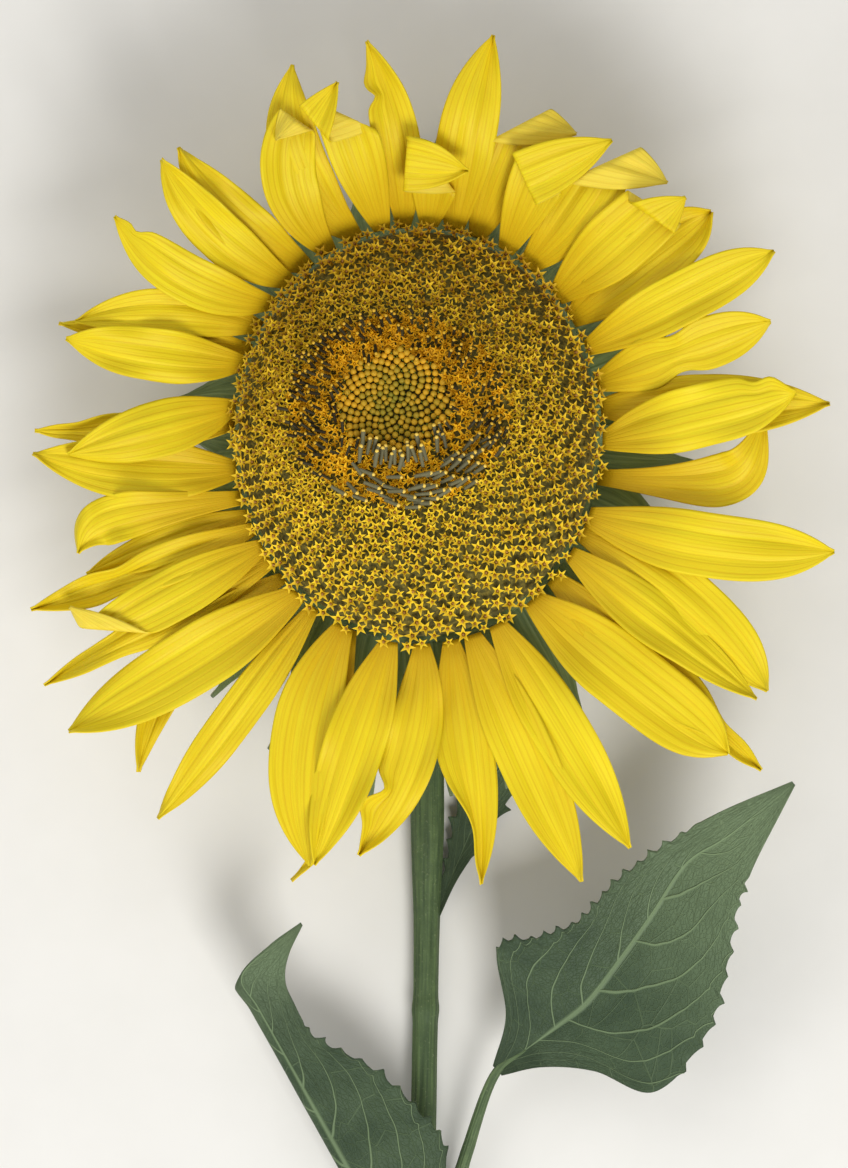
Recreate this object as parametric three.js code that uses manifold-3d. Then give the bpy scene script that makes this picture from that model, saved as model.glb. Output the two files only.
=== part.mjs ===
// Cut sunflower head on a stretch of stem, lying on its back with its face up.
// Millimetres. +Z is up, +X is to the right of the flower, +Y runs from the cut
// end of the stem towards the top of the flower.
// While it is drawn, the middle of the disc is over x = 0, y = 0 and the floor is
// z = 0. At the end everything is moved so the origin is the middle of its box's floor.
import * as THREE from "three";
import Module from "manifold-3d";

const wasm = await Module();
wasm.setup();
const { Manifold, Mesh: SolidMesh } = wasm;

// ---- Driving dimensions -------------------------------------------------------
const DISC_ACROSS = 95;        // disc, left to right
const DISC_TALL = 108;         // disc, bottom to top
const RIM_HEIGHT = 41;         // middle of the disc's rim over the floor
const RIM_RISE_RIGHT = 2.2;    // the rim is this much higher at the right
const RIM_FALL_TOP = 10;       // and this much lower at the top
const DOME = 12.5;             // crown of the disc over its rim
const DISC_DEPTH = 7;          // from the rim down to the underside of the florets
const BACK_DEPTH = 13;         // green back of the head under the florets
const FACE_TOP = 56;           // level the ray petals spread out at
const LEFT_DROP = 7;           // they stay this much lower at the left
const FLATTEN = 34;            // distance outside the rim in which they get there
const LAYER = 1.7;             // one petal over the next
const PETAL_THICK = 0.6;
const ROLL = 0.9;              // radius a folded petal is rolled to at its crease
const STEM_THICK = 6.8;        // stem at the cut end
const NECK_THICK = 16;         // neck where it enters the head
const STEM_END = -255;         // cut end of the stem
const NECK_START = -98;        // stem becomes neck
const CLEAR = 0.3;             // gap between neighbouring pieces
const LEAF_THICK = 1.2;

const HALF_X = DISC_ACROSS / 2;
const HALF_Y = DISC_TALL / 2;
const RIM_BACK = 1;            // floret wall stands this far inside the rim
const TURN = Math.PI / 180;

// ---- Colours ------------------------------------------------------------------
const COLOUR = {
  ray: 0xe6cd2c,
  openFloret: 0xb38f1f,
  anther: 0x5a4426,
  bud: 0x97751c,
  bract: 0x5d7346,
  stem: 0x4d6442,
  leaf: 0x3d5638,
};

// ---- Small helpers ------------------------------------------------------------
const clamp = (t, low, high) => Math.min(high, Math.max(low, t));

function smooth(t) {
  const u = clamp(t, 0, 1);
  return u * u * (3 - 2 * u);
}

function line(stops, t) {
  // Straight run through [position, value] stops.
  if (t <= stops[0][0]) return stops[0][1];
  for (let i = 1; i < stops.length; i++) {
    const [a, va] = stops[i - 1];
    const [b, vb] = stops[i];
    if (t <= b) return va + ((vb - va) * (t - a)) / (b - a);
  }
  return stops[stops.length - 1][1];
}

// ---- The lie of the head ------------------------------------------------------
function rimRadius(angle) {
  return (HALF_X * HALF_Y) / Math.hypot(HALF_Y * Math.cos(angle), HALF_X * Math.sin(angle));
}

function rimPlane(x, y) {
  return RIM_HEIGHT + (RIM_RISE_RIGHT * x) / HALF_X - (RIM_FALL_TOP * y) / HALF_Y;
}

function petalLevel(x, y) {
  // Height of the topmost layer of ray petals over a place outside the rim.
  const reach = Math.hypot(x, y);
  const angle = Math.atan2(y, x);
  const rim = rimRadius(angle);
  const start = rimPlane((x * rim) / reach, (y * rim) / reach);
  const left = Math.max(0, -Math.cos(angle));
  const top = FACE_TOP - LEFT_DROP * left * left;
  const t = clamp((reach - rim) / FLATTEN, 0, 1);
  return start + (top - start) * (1 - (1 - t) * (1 - t));
}

function polar(angle, reach) {
  return new THREE.Vector2(Math.cos(angle * TURN) * reach, Math.sin(angle * TURN) * reach);
}

// ---- Solids from grids and rings ------------------------------------------------
function solid(points, faces) {
  // Closed geometry from points and triangles, turned to face out.
  let volume = 0;
  for (const [a, b, c] of faces) {
    volume += points[a].dot(new THREE.Vector3().crossVectors(points[b], points[c]));
  }
  const geometry = new THREE.BufferGeometry();
  geometry.setAttribute(
    "position",
    new THREE.Float32BufferAttribute(points.flatMap((p) => [p.x, p.y, p.z]), 3)
  );
  geometry.setIndex(faces.flatMap(([a, b, c]) => (volume < 0 ? [a, c, b] : [a, b, c])));
  geometry.computeVertexNormals();
  return geometry;
}

function plate(rows, thick) {
  // A sheet given by rows of middle points, thickened evenly to both sides.
  const m = rows.length;
  const n = rows[0].length;
  const points = [];
  const faces = [];
  for (const side of [1, -1]) {
    for (let i = 0; i < m; i++) {
      for (let j = 0; j < n; j++) {
        const along = rows[Math.min(i + 1, m - 1)][j].clone().sub(rows[Math.max(i - 1, 0)][j]);
        const across = rows[i][Math.min(j + 1, n - 1)].clone().sub(rows[i][Math.max(j - 1, 0)]);
        const normal = new THREE.Vector3().crossVectors(along, across).normalize();
        points.push(rows[i][j].clone().addScaledVector(normal, (side * thick) / 2));
      }
    }
  }
  const at = (side, i, j) => side * m * n + i * n + j;
  for (let i = 0; i + 1 < m; i++) {
    for (let j = 0; j + 1 < n; j++) {
      faces.push([at(0, i, j), at(0, i + 1, j), at(0, i + 1, j + 1)]);
      faces.push([at(0, i, j), at(0, i + 1, j + 1), at(0, i, j + 1)]);
      faces.push([at(1, i, j), at(1, i + 1, j + 1), at(1, i + 1, j)]);
      faces.push([at(1, i, j), at(1, i, j + 1), at(1, i + 1, j + 1)]);
    }
  }
  const edge = (i0, j0, i1, j1) => {
    faces.push([at(0, i0, j0), at(0, i1, j1), at(1, i1, j1)]);
    faces.push([at(0, i0, j0), at(1, i1, j1), at(1, i0, j0)]);
  };
  for (let j = 0; j + 1 < n; j++) {
    edge(0, j, 0, j + 1);
    edge(m - 1, j + 1, m - 1, j);
  }
  for (let i = 0; i + 1 < m; i++) {
    edge(i + 1, 0, i, 0);
    edge(i, n - 1, i + 1, n - 1);
  }
  return solid(points, faces);
}

function loft(rings, hole = false) {
  // Rings of equal count joined in turn; with a hole the last joins the first.
  const n = rings[0].length;
  const points = rings.flat();
  const faces = [];
  const last = hole ? rings.length : rings.length - 1;
  for (let k = 0; k < last; k++) {
    const next = (k + 1) % rings.length;
    for (let i = 0; i < n; i++) {
      const j = (i + 1) % n;
      faces.push([k * n + i, k * n + j, next * n + j]);
      faces.push([k * n + i, next * n + j, next * n + i]);
    }
  }
  if (!hole) {
    for (const [k, flip] of [[0, true], [rings.length - 1, false]]) {
      const middle = new THREE.Vector3();
      rings[k].forEach((p) => middle.addScaledVector(p, 1 / n));
      const m = points.push(middle) - 1;
      for (let i = 0; i < n; i++) {
        const j = (i + 1) % n;
        faces.push(flip ? [k * n + j, k * n + i, m] : [k * n + i, k * n + j, m]);
      }
    }
  }
  return solid(points, faces);
}

function limb(path, radius, count, steps) {
  // Tapering round limb along path(t), with radius(t); t runs from 0 to 1.
  const rings = [];
  for (let k = 0; k <= steps; k++) {
    const t = k / steps;
    const here = path(t);
    const ahead = path(Math.min(1, t + 0.01)).sub(path(Math.max(0, t - 0.01))).normalize();
    const right = new THREE.Vector3().crossVectors(ahead, new THREE.Vector3(0, 0, 1));
    if (right.length() < 0.05) right.set(1, 0, 0);
    right.normalize();
    const up = new THREE.Vector3().crossVectors(right, ahead);
    const ring = [];
    for (let i = 0; i < count; i++) {
      const a = (2 * Math.PI * i) / count;
      const r = radius(t);
      ring.push(
        here.clone().addScaledVector(right, Math.cos(a) * r).addScaledVector(up, Math.sin(a) * r)
      );
    }
    rings.push(ring);
  }
  return rings;
}

function bezier(p0, p1, p2, p3) {
  const curve = new THREE.CubicBezierCurve3(
    new THREE.Vector3(...p0),
    new THREE.Vector3(...p1),
    new THREE.Vector3(...p2),
    new THREE.Vector3(...p3)
  );
  return (t) => curve.getPoint(t);
}

function through(stops) {
  const curve = new THREE.CatmullRomCurve3(stops.map((p) => new THREE.Vector3(...p)));
  return (t) => curve.getPoint(t);
}

function toSolid(geometry) {
  return new Manifold(
    new SolidMesh({
      numProp: 3,
      vertProperties: new Float32Array(geometry.getAttribute("position").array),
      triVerts: new Uint32Array(geometry.getIndex().array),
    })
  );
}

function fromSolid(body) {
  const mesh = body.getMesh();
  const geometry = new THREE.BufferGeometry();
  const flat = new Float32Array((mesh.vertProperties.length / mesh.numProp) * 3);
  for (let i = 0; i < flat.length / 3; i++) {
    for (let c = 0; c < 3; c++) flat[i * 3 + c] = mesh.vertProperties[i * mesh.numProp + c];
  }
  geometry.setAttribute("position", new THREE.BufferAttribute(flat, 3));
  geometry.setIndex(Array.from(mesh.triVerts));
  geometry.computeVertexNormals();
  return geometry;
}

const flower = new THREE.Group();
flower.name = "sunflower";

function add(name, geometry, colour, roughness) {
  const material = new THREE.MeshStandardMaterial({ color: colour, roughness, metalness: 0 });
  material.name = name;
  const mesh = new THREE.Mesh(geometry, material);
  mesh.name = name;
  flower.add(mesh);
}

// ---- Disc: open florets outside, anthers inside them, closed buds in the middle --
// The middle of the spiral sits up and to the left of the middle of the rim, and
// the ring of anthers is wider than tall where the rim is taller than wide.
const BUD_MIDDLE = new THREE.Vector2(-6.5, 8);
const BUD_EDGE = 0.255;        // share of the way out at which the buds end
const ANTHER_EDGE = 0.515;     // and the anthers
const HALF_WIDTHS = [[0, 0], [BUD_EDGE, 13], [ANTHER_EDGE, 28.5], [1, HALF_X - RIM_BACK]];
const HALF_HEIGHTS = [[0, 0], [BUD_EDGE, 13], [ANTHER_EDGE, 24.5], [1, HALF_Y - RIM_BACK]];
const DISC_SIDES = 44;
const DOME_PROFILE = [[0, 0.64], [0.25, 0.76], [0.52, 1], [0.75, 0.86], [0.9, 0.5], [1, 0]];

function discPoint(share, angle, height) {
  // Place on the disc: share 0 is the middle of the buds, 1 is the floret wall.
  const x = Math.cos(angle) * line(HALF_WIDTHS, share) + BUD_MIDDLE.x * (1 - share * share);
  const y = Math.sin(angle) * line(HALF_HEIGHTS, share) + BUD_MIDDLE.y * (1 - share * share);
  return new THREE.Vector3(x, y, rimPlane(x, y) + height);
}

function discRing(share, height) {
  const ring = [];
  for (let i = 0; i < DISC_SIDES; i++) {
    ring.push(discPoint(share, (2 * Math.PI * i) / DISC_SIDES, height));
  }
  return ring;
}

const domeHeight = (share) => DOME * line(DOME_PROFILE, share);
const SEAM = 0.004;            // half of the gap between two zones, as a share
const ZONES = [
  ["disc_open_florets", ANTHER_EDGE + SEAM, 1, [0.62, 0.75, 0.86, 0.94], COLOUR.openFloret],
  ["disc_anthers", BUD_EDGE + SEAM, ANTHER_EDGE - SEAM, [0.38], COLOUR.anther],
];
for (const [name, inner, outer, between, colour] of ZONES) {
  const rings = [discRing(inner, -DISC_DEPTH)];
  for (const share of [inner, ...between, outer]) rings.push(discRing(share, domeHeight(share)));
  rings.push(discRing(outer, -DISC_DEPTH));
  add(name, loft(rings, true), colour, 0.85);
}
add(
  "disc_buds",
  loft([
    discRing(BUD_EDGE - SEAM, -DISC_DEPTH),
    discRing(BUD_EDGE - SEAM, domeHeight(BUD_EDGE - SEAM)),
    discRing(BUD_EDGE / 2, domeHeight(BUD_EDGE / 2)),
  ]),
  COLOUR.bud,
  0.8
);

// ---- Green back of the head with its ring of bracts ------------------------------
const NECK_TOP = new THREE.Vector2(1.5, -10.5);
const BACK_PROFILE = [
  // [share of the rim, depth under the rim plane]
  [0.97, DISC_DEPTH + CLEAR],
  [1.01, DISC_DEPTH + 2],
  [0.97, DISC_DEPTH + 5],
  [0.78, DISC_DEPTH + 9.5],
  [0.5, DISC_DEPTH + BACK_DEPTH - 1],
  [0.22, DISC_DEPTH + BACK_DEPTH],
];

function backRing([share, depth]) {
  const ring = [];
  const shift = 1 - smooth((share - 0.22) / 0.6);
  for (let i = 0; i < DISC_SIDES; i++) {
    const angle = (2 * Math.PI * i) / DISC_SIDES;
    const wall = rimRadius(angle) - RIM_BACK;
    const x = Math.cos(angle) * wall * share + NECK_TOP.x * shift;
    const y = Math.sin(angle) * wall * share + NECK_TOP.y * shift;
    ring.push(new THREE.Vector3(x, y, rimPlane(x, y) - depth));
  }
  return ring;
}

const BRACT_COUNT = 27;
const BRACT_FIRST = 7;
const BRACT_WIDE = 16;
const BRACT_THICK = 1;

function bract(k) {
  // Broad at the root, drawn out to a thin tip; those at the top hang to the floor.
  const angle = BRACT_FIRST + (360 / BRACT_COUNT) * k;
  const a = angle * TURN;
  const rim = rimRadius(a);
  const below = Math.max(0, -Math.sin(a));
  const above = Math.max(0, Math.sin(a));
  const atLeft = Math.max(0, -Math.cos(a));
  const reach = 24 + 17 * below + 5 * above - 9 * atLeft * atLeft + 2 * Math.sin(2.4 * k);
  const sway = 5 * Math.sin(1.7 * k);
  const out = polar(angle, 1);
  const side = new THREE.Vector2(-out.y, out.x);
  const rootHeight = rimPlane(out.x * rim, out.y * rim) - DISC_DEPTH - 3.4;
  const hangs = smooth((Math.sin(a) - 0.35) / 0.3);
  const tipHeight = (1 - hangs) * (rootHeight - 9 - 2 * Math.sin(3 * k)) + hangs * (BRACT_THICK / 2);
  const steps = 5;
  const rows = [];
  for (let i = 0; i <= steps; i++) {
    const s = i / steps;
    const half = (BRACT_WIDE / 2) * line([[0, 0.8], [0.28, 1], [0.55, 0.6], [0.78, 0.2], [1, 0.06]], s);
    const spread = rim - 5 + (reach + 5) * s;
    const height = rootHeight + (tipHeight - rootHeight) * Math.pow(s, 1.4);
    const row = [];
    for (const v of [-1, 0, 1]) {
      const across = v * half + sway * s * s;
      row.push(
        new THREE.Vector3(
          out.x * spread + side.x * across,
          out.y * spread + side.y * across,
          height + (k % 2) * 0.2 + 0.8 * (v * v) * (1 - s)
        )
      );
    }
    rows.push(row);
  }
  return plate(rows, BRACT_THICK);
}

let back = toSolid(loft(BACK_PROFILE.map(backRing)));
for (let k = 0; k < BRACT_COUNT; k++) back = back.add(toSolid(bract(k)));
add("head_back", fromSolid(back), COLOUR.bract, 0.8);

// ---- Ray petals -------------------------------------------------------------------
// root:  angle round the rim.            tip: [angle, reach] laid out flat.
// bow:   middle of the petal off the straight line, to its left.
// elbow: [angle, reach] the petal bends round instead.
// wide:  widest width.   end: how blunt it ends (2 pointed ... 5 round).
// layer: 0 is on top.    pinch: [share of the length, share narrowed].
// fold:  creases [angle, reach, direction of the crease]; what is beyond is turned
//        over on top of what is before, or under it where under is set.
const RAYS = [
  { root: 358, tip: [6, 96.5], wide: 16, end: 4, layer: 0 },
  { root: 8, tip: [4, 105], wide: 16, end: 2.4, layer: 2 },
  { root: 16, tip: [17.5, 94], wide: 15, end: 4, layer: 1, pinch: [0.45, 0.35] },
  { root: 27, tip: [27, 101.5], wide: 13.5, end: 4, layer: 0 },
  { root: 37, tip: [37, 93.5], wide: 16, end: 4.5, layer: 2 },
  { root: 45, tip: [43, 98], wide: 17, end: 3, layer: 1, fold: [[44, 81.5, 148], [42.4, 78, 146]] },
  { root: 57, tip: [53, 102], wide: 15, end: 3, layer: 2, fold: [[54, 84, 20]] },
  { root: 64.5, tip: [65, 104.5], wide: 14.5, end: 2.8, layer: 1, fold: [[64, 71.5, 136], [67.2, 66.7, 115]] },
  { root: 73.5, tip: [71, 98], wide: 14, end: 3, layer: 3.3, fold: [[71.6, 81, 27]] },
  { root: 80, tip: [79.3, 103], wide: 15, end: 2.4, layer: 2, bow: 1.5 },
  { root: 87, tip: [85, 94], wide: 14.5, end: 2.8, layer: 1, fold: [[86, 66, 130], [94, 67.5, 85]] },
  { root: 94, tip: [97.5, 100.5], wide: 12, end: 2.2, layer: 2, bow: -2.5, pinch: [0.68, 0.2] },
  { root: 100, tip: [104.5, 104.5], wide: 14, end: 2.8, layer: 0, fold: [[103, 81, 156], [109.5, 80, 130]] },
  { root: 107.5, tip: [108.8, 99], wide: 14, end: 2.6, layer: 2, bow: 7 },
  { root: 116, tip: [107.3, 91.5], wide: 14, end: 3.6, layer: 1, bow: 8, fold: [[111.2, 83, 146]] },
  { root: 123.5, tip: [130, 95], wide: 13.5, end: 2.4, layer: 2, bow: 3.5 },
  { root: 130, tip: [133.2, 95.5], wide: 12.5, end: 2.8, layer: 1, bow: 4 },
  { root: 138, tip: [144.5, 95], wide: 12.5, end: 3, layer: 0, bow: 5 },
  { root: 146, tip: [162, 92], wide: 12, end: 2.6, layer: 1, bow: -3 },
  { root: 158, tip: [165, 93], wide: 13.5, end: 3, layer: 0, bow: 1 },
  { root: 153, tip: [163, 96], wide: 9, end: 2.2, layer: 2 },
  { root: 172, tip: [183.5, 89.5], wide: 14.5, end: 2.2, layer: 0 },
  { root: 177, tip: [179.6, 98], wide: 10, end: 2.2, layer: 2, bow: 1, pinch: [0.8, 0.3] },
  { root: 191, tip: [183, 98.5], wide: 16, end: 2.2, layer: 1, bow: 2 },
  { root: 200, tip: [199.5, 92], wide: 12.5, end: 3, layer: 0, elbow: [194.5, 86] },
  { root: 205.5, tip: [203, 92], wide: 10, end: 2.4, layer: 2 },
  { root: 210, tip: [204.5, 108.5], wide: 11, end: 2.4, layer: 1, pinch: [0.6, 0.35], bow: 1 },
  { root: 216, tip: [212, 105.5], wide: 13.5, end: 2.8, layer: 0, fold: [[212, 92.5, 176]] },
  { root: 221, tip: [214, 115], wide: 11, end: 2.6, layer: 1, pinch: [0.68, 0.4] },
  { root: 227, tip: [230.5, 112], wide: 10, end: 2.8, layer: 2, bow: -8 },
  { root: 233, tip: [220.5, 117], wide: 17, end: 3, layer: 0, bow: 1 },
  { root: 239, tip: [236, 118.5], wide: 10.5, end: 3.5, layer: 1, bow: 0.5 },
  { root: 249, tip: [256, 113.5], wide: 17, end: 3, layer: 1, bow: -6 },
  { root: 252, tip: [254.2, 118.5], wide: 5, end: 2.4, layer: 2, elbow: [258.5, 106] },
  { root: 262, tip: [256.5, 113], wide: 15.5, end: 2.6, layer: 0 },
  { root: 271, tip: [262, 108.5], wide: 14, end: 2.6, layer: 1, bow: 5 },
  { root: 279, tip: [278, 116], wide: 14, end: 2.6, layer: 2, pinch: [0.7, 0.55], bow: 0.5 },
  { root: 285, tip: [290, 121.5], wide: 15, end: 2.8, layer: 1 },
  { root: 292.5, tip: [297, 118.5], wide: 15, end: 2.8, layer: 0 },
  { root: 304.5, tip: [314, 113.5], wide: 18.5, end: 5, layer: 1, bow: -0.5 },
  { root: 313, tip: [315.5, 122.5], wide: 14, end: 2.6, layer: 2, pinch: [0.8, 0.45] },
  { root: 321.5, tip: [321.8, 109.5], wide: 13.5, end: 2.6, layer: 0 },
  { root: 328.5, tip: [323.5, 110.5], wide: 15, end: 4.5, layer: 1, bow: 4.5 },
  { root: 334, tip: [344, 110], wide: 16.5, end: 3.6, layer: 0, bow: -3 },
  { root: 346.5, tip: [4, 88.5], wide: 13.5, end: 2.6, layer: 3, elbow: [350, 85.5] },
];

function mirror(point, crease) {
  // Point turned over across a crease line, in plan.
  const d = point.clone().sub(crease.on).dot(crease.beyond);
  return point.clone().addScaledVector(crease.beyond, -2 * d);
}

function petalCreases(ray, tip) {
  // Each crease as a line, both where it ends up and on the petal laid out flat.
  const done = [];
  let end = tip.clone();
  for (const [angle, reach, direction] of ray.fold ?? []) {
    const on = polar(angle, reach);
    const along = polar(direction, 1);
    const beyond = new THREE.Vector2(-along.y, along.x);
    if (end.clone().sub(on).dot(beyond) < 0) beyond.negate();
    let flatOn = on.clone();
    let flatAim = on.clone().add(beyond);
    for (const crease of [...done].reverse()) {
      flatOn = mirror(flatOn, crease);
      flatAim = mirror(flatAim, crease);
    }
    done.push({ on, beyond, flatOn, flatBeyond: flatAim.sub(flatOn) });
    end = mirror(end, done[done.length - 1]);
  }
  return done;
}

function petalPlace(point, creases, drop, under) {
  // Flat place on the petal -> place in space, creases rolled over one by one.
  if (creases.length === 0) {
    return new THREE.Vector3(point.x, point.y, petalLevel(point.x, point.y) - drop);
  }
  const before = creases.slice(0, -1);
  const crease = creases[creases.length - 1];
  const d = point.clone().sub(crease.flatOn).dot(crease.flatBeyond);
  if (d <= 0) return petalPlace(point, before, drop, under);
  const foot = point.clone().addScaledVector(crease.flatBeyond, -d);
  const base = petalPlace(foot, before, drop, under);
  const turn = Math.min(d / ROLL, Math.PI);
  const out = ROLL * Math.sin(turn) - Math.max(0, d - Math.PI * ROLL);
  const up = ROLL * (1 - Math.cos(turn)) * (under ? -1 : 1);
  return base.add(new THREE.Vector3(crease.beyond.x * out, crease.beyond.y * out, up));
}

function petal(ray) {
  const a = ray.root * TURN;
  const root = polar(ray.root, rimRadius(a) - RIM_BACK + CLEAR + 0.75 * PETAL_THICK);
  const tip = polar(...ray.tip);
  const chord = tip.clone().sub(root);
  const left = new THREE.Vector2(-chord.y, chord.x).normalize();
  const middle = root.clone().add(tip).multiplyScalar(0.5).addScaledVector(left, 2 * (ray.bow ?? 0));
  const elbow = ray.elbow ? polar(...ray.elbow) : middle;
  const pull = ray.elbow ? 2.5 : 1;
  const drop = 1 + LAYER * ray.layer;
  const creases = petalCreases(ray, tip);

  const spine = (s) => {
    const w0 = (1 - s) * (1 - s);
    const w1 = 2 * s * (1 - s) * pull;
    const w2 = s * s;
    return root.clone().multiplyScalar(w0).addScaledVector(elbow, w1).addScaledVector(tip, w2)
      .divideScalar(w0 + w1 + w2);
  };
  const half = (s) => {
    const swell = 0.3 + 0.7 * Math.sin((Math.PI / 2) * Math.min(1, s / 0.42));
    const close = 1 - Math.pow(clamp((s - 0.45) / 0.55, 0, 1), ray.end);
    const [where, much] = ray.pinch ?? [0, 0];
    const nip = 1 - much * Math.exp(-Math.pow((s - where) / 0.1, 2));
    return Math.max(0.4, (ray.wide / 2) * swell * close * nip);
  };
  const square = new THREE.Vector2(root.x / HALF_X ** 2, root.y / HALF_Y ** 2).normalize();
  const flat = (s, v) => {
    // The root stands square to the rim, whichever way the petal heads off.
    const ahead = spine(Math.min(1, s + 0.01)).sub(spine(Math.max(0, s - 0.01))).normalize();
    ahead.lerp(square, 1 - smooth(s / 0.15)).normalize();
    return spine(s).add(new THREE.Vector2(-ahead.y, ahead.x).multiplyScalar(v * half(s)));
  };
  const crossing = (crease, v) => {
    // Share of the length at which this lengthwise line meets the crease.
    let low = 0;
    let high = 1;
    for (let i = 0; i < 24; i++) {
      const s = (low + high) / 2;
      const d = flat(s, v).sub(crease.flatOn).dot(crease.flatBeyond);
      if (d > 0) high = s;
      else low = s;
    }
    return Math.min(low, 0.965);
  };

  const columns = [-1, -0.5, 0, 0.5, 1];
  const length = chord.length();
  const cells = ray.elbow ? 12 : 8 + creases.length;
  const perColumn = columns.map((v) => {
    const stops = [0, ...creases.map((crease) => crossing(crease, v)), 1];
    const shares = [0];
    for (let k = 1; k < stops.length; k++) {
      const rolled = Math.min((Math.PI * ROLL) / length, (stops[k] - stops[k - 1]) * 0.5);
      const count = k === 1 ? cells - 3 * creases.length : 3;
      if (k > 1) shares.push(stops[k - 1] + rolled / 2, stops[k - 1] + rolled);
      const from = k > 1 ? stops[k - 1] + rolled : 0;
      for (let i = 1; i <= count; i++) shares.push(from + ((stops[k] - from) * i) / count);
    }
    return shares;
  });
  const rows = perColumn[0].map((_, i) =>
    columns.map((v, j) => {
      const s = perColumn[j][i];
      const place = petalPlace(flat(s, v), creases, drop, ray.under);
      place.z += 0.5 * (v * v - 0.4) * smooth(s * 5);
      return place;
    })
  );
  return plate(rows, PETAL_THICK);
}

RAYS.forEach((ray, i) => {
  add(`ray_${String(i + 1).padStart(2, "0")}`, petal(ray), COLOUR.ray, 0.6);
});

// ---- Neck and stem ------------------------------------------------------------------
const STEM_X = 0.4;
const NECK_X = 2.3;
const neckRadius = (t) => 4.5 + (NECK_THICK / 2 - 4.5) * smooth((t - 0.25) / 0.75);
const neckFoot = rimPlane(NECK_TOP.x, NECK_TOP.y) - DISC_DEPTH - BACK_DEPTH - CLEAR;
const neckRings = limb(
  bezier(
    [NECK_X, NECK_START + CLEAR, 4.5],
    [NECK_X, -50, 4.5],
    [NECK_TOP.x, NECK_TOP.y - 5, 2],
    [NECK_TOP.x, NECK_TOP.y, neckFoot]
  ),
  neckRadius,
  14,
  11
);
for (const p of neckRings[neckRings.length - 1]) {
  // The last ring lies flat against the back of the head.
  p.z = neckFoot + rimPlane(p.x, p.y) - rimPlane(NECK_TOP.x, NECK_TOP.y);
}
add("neck", loft(neckRings), COLOUR.stem, 0.75);

// The stem lies along the floor and swells a little where the neck takes over.
const stemPath = (t) =>
  new THREE.Vector3(
    STEM_X + (NECK_X - STEM_X) * smooth(t),
    STEM_END + (NECK_START - STEM_END) * t,
    stemRadius(t)
  );
function stemRadius(t) {
  return STEM_THICK / 2 + 0.2 * smooth(t) + (4.5 - STEM_THICK / 2 - 0.2) * smooth((t - 0.85) / 0.15);
}
add("stem", loft(limb(stemPath, stemRadius, 14, 9)), COLOUR.stem, 0.75);
const roundStem = toSolid(loft(limb(stemPath, (t) => stemRadius(t) + CLEAR, 14, 9)));
const againstStem = (geometry) => fromSolid(toSolid(geometry).subtract(roundStem));

// ---- Leaves ----------------------------------------------------------------------------
// Each leaf is ruled from a line along its middle, its midrib or the crease it is
// folded at, to its left and right edges, all laid out flat, base first. Each side
// bends to its own slope in degrees; past 90 it is folded under.
const BEND = 2;                // radius a leaf's side bends with

function evenly(values, t) {
  // Straight run through values set out evenly from t = 0 to 1.
  return line(values.map((value, i) => [i / (values.length - 1), value]), t);
}

function blade(leaf) {
  const middle = through(leaf.middle);
  const left = through(leaf.left.map(([x, y]) => [x, y, 0]));
  const right = through(leaf.right.map(([x, y]) => [x, y, 0]));
  const steps = 2 * (leaf.middle.length - 1);
  const rows = [];
  for (let i = 0; i <= steps; i++) {
    const s = i / steps;
    rows.push(leaf.columns.map((v) => {
      const place = middle(s);
      const away = (v < 0 ? left(s) : right(s)).sub(place).setZ(0);
      const across = away.length() * Math.abs(v);
      const slope = evenly(v < 0 ? leaf.slopeLeft : leaf.slopeRight, s) * TURN;
      const turned = Math.min(across / BEND, Math.abs(slope));
      const beyond = across - turned * BEND;
      const out = BEND * Math.sin(turned) + beyond * Math.cos(turned);
      const rise = BEND * (1 - Math.cos(turned)) + beyond * Math.sin(turned);
      place.addScaledVector(away.normalize(), out);
      place.z += Math.sign(slope) * rise;
      return place;
    }));
  }
  return plate(rows, LEAF_THICK);
}

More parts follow.
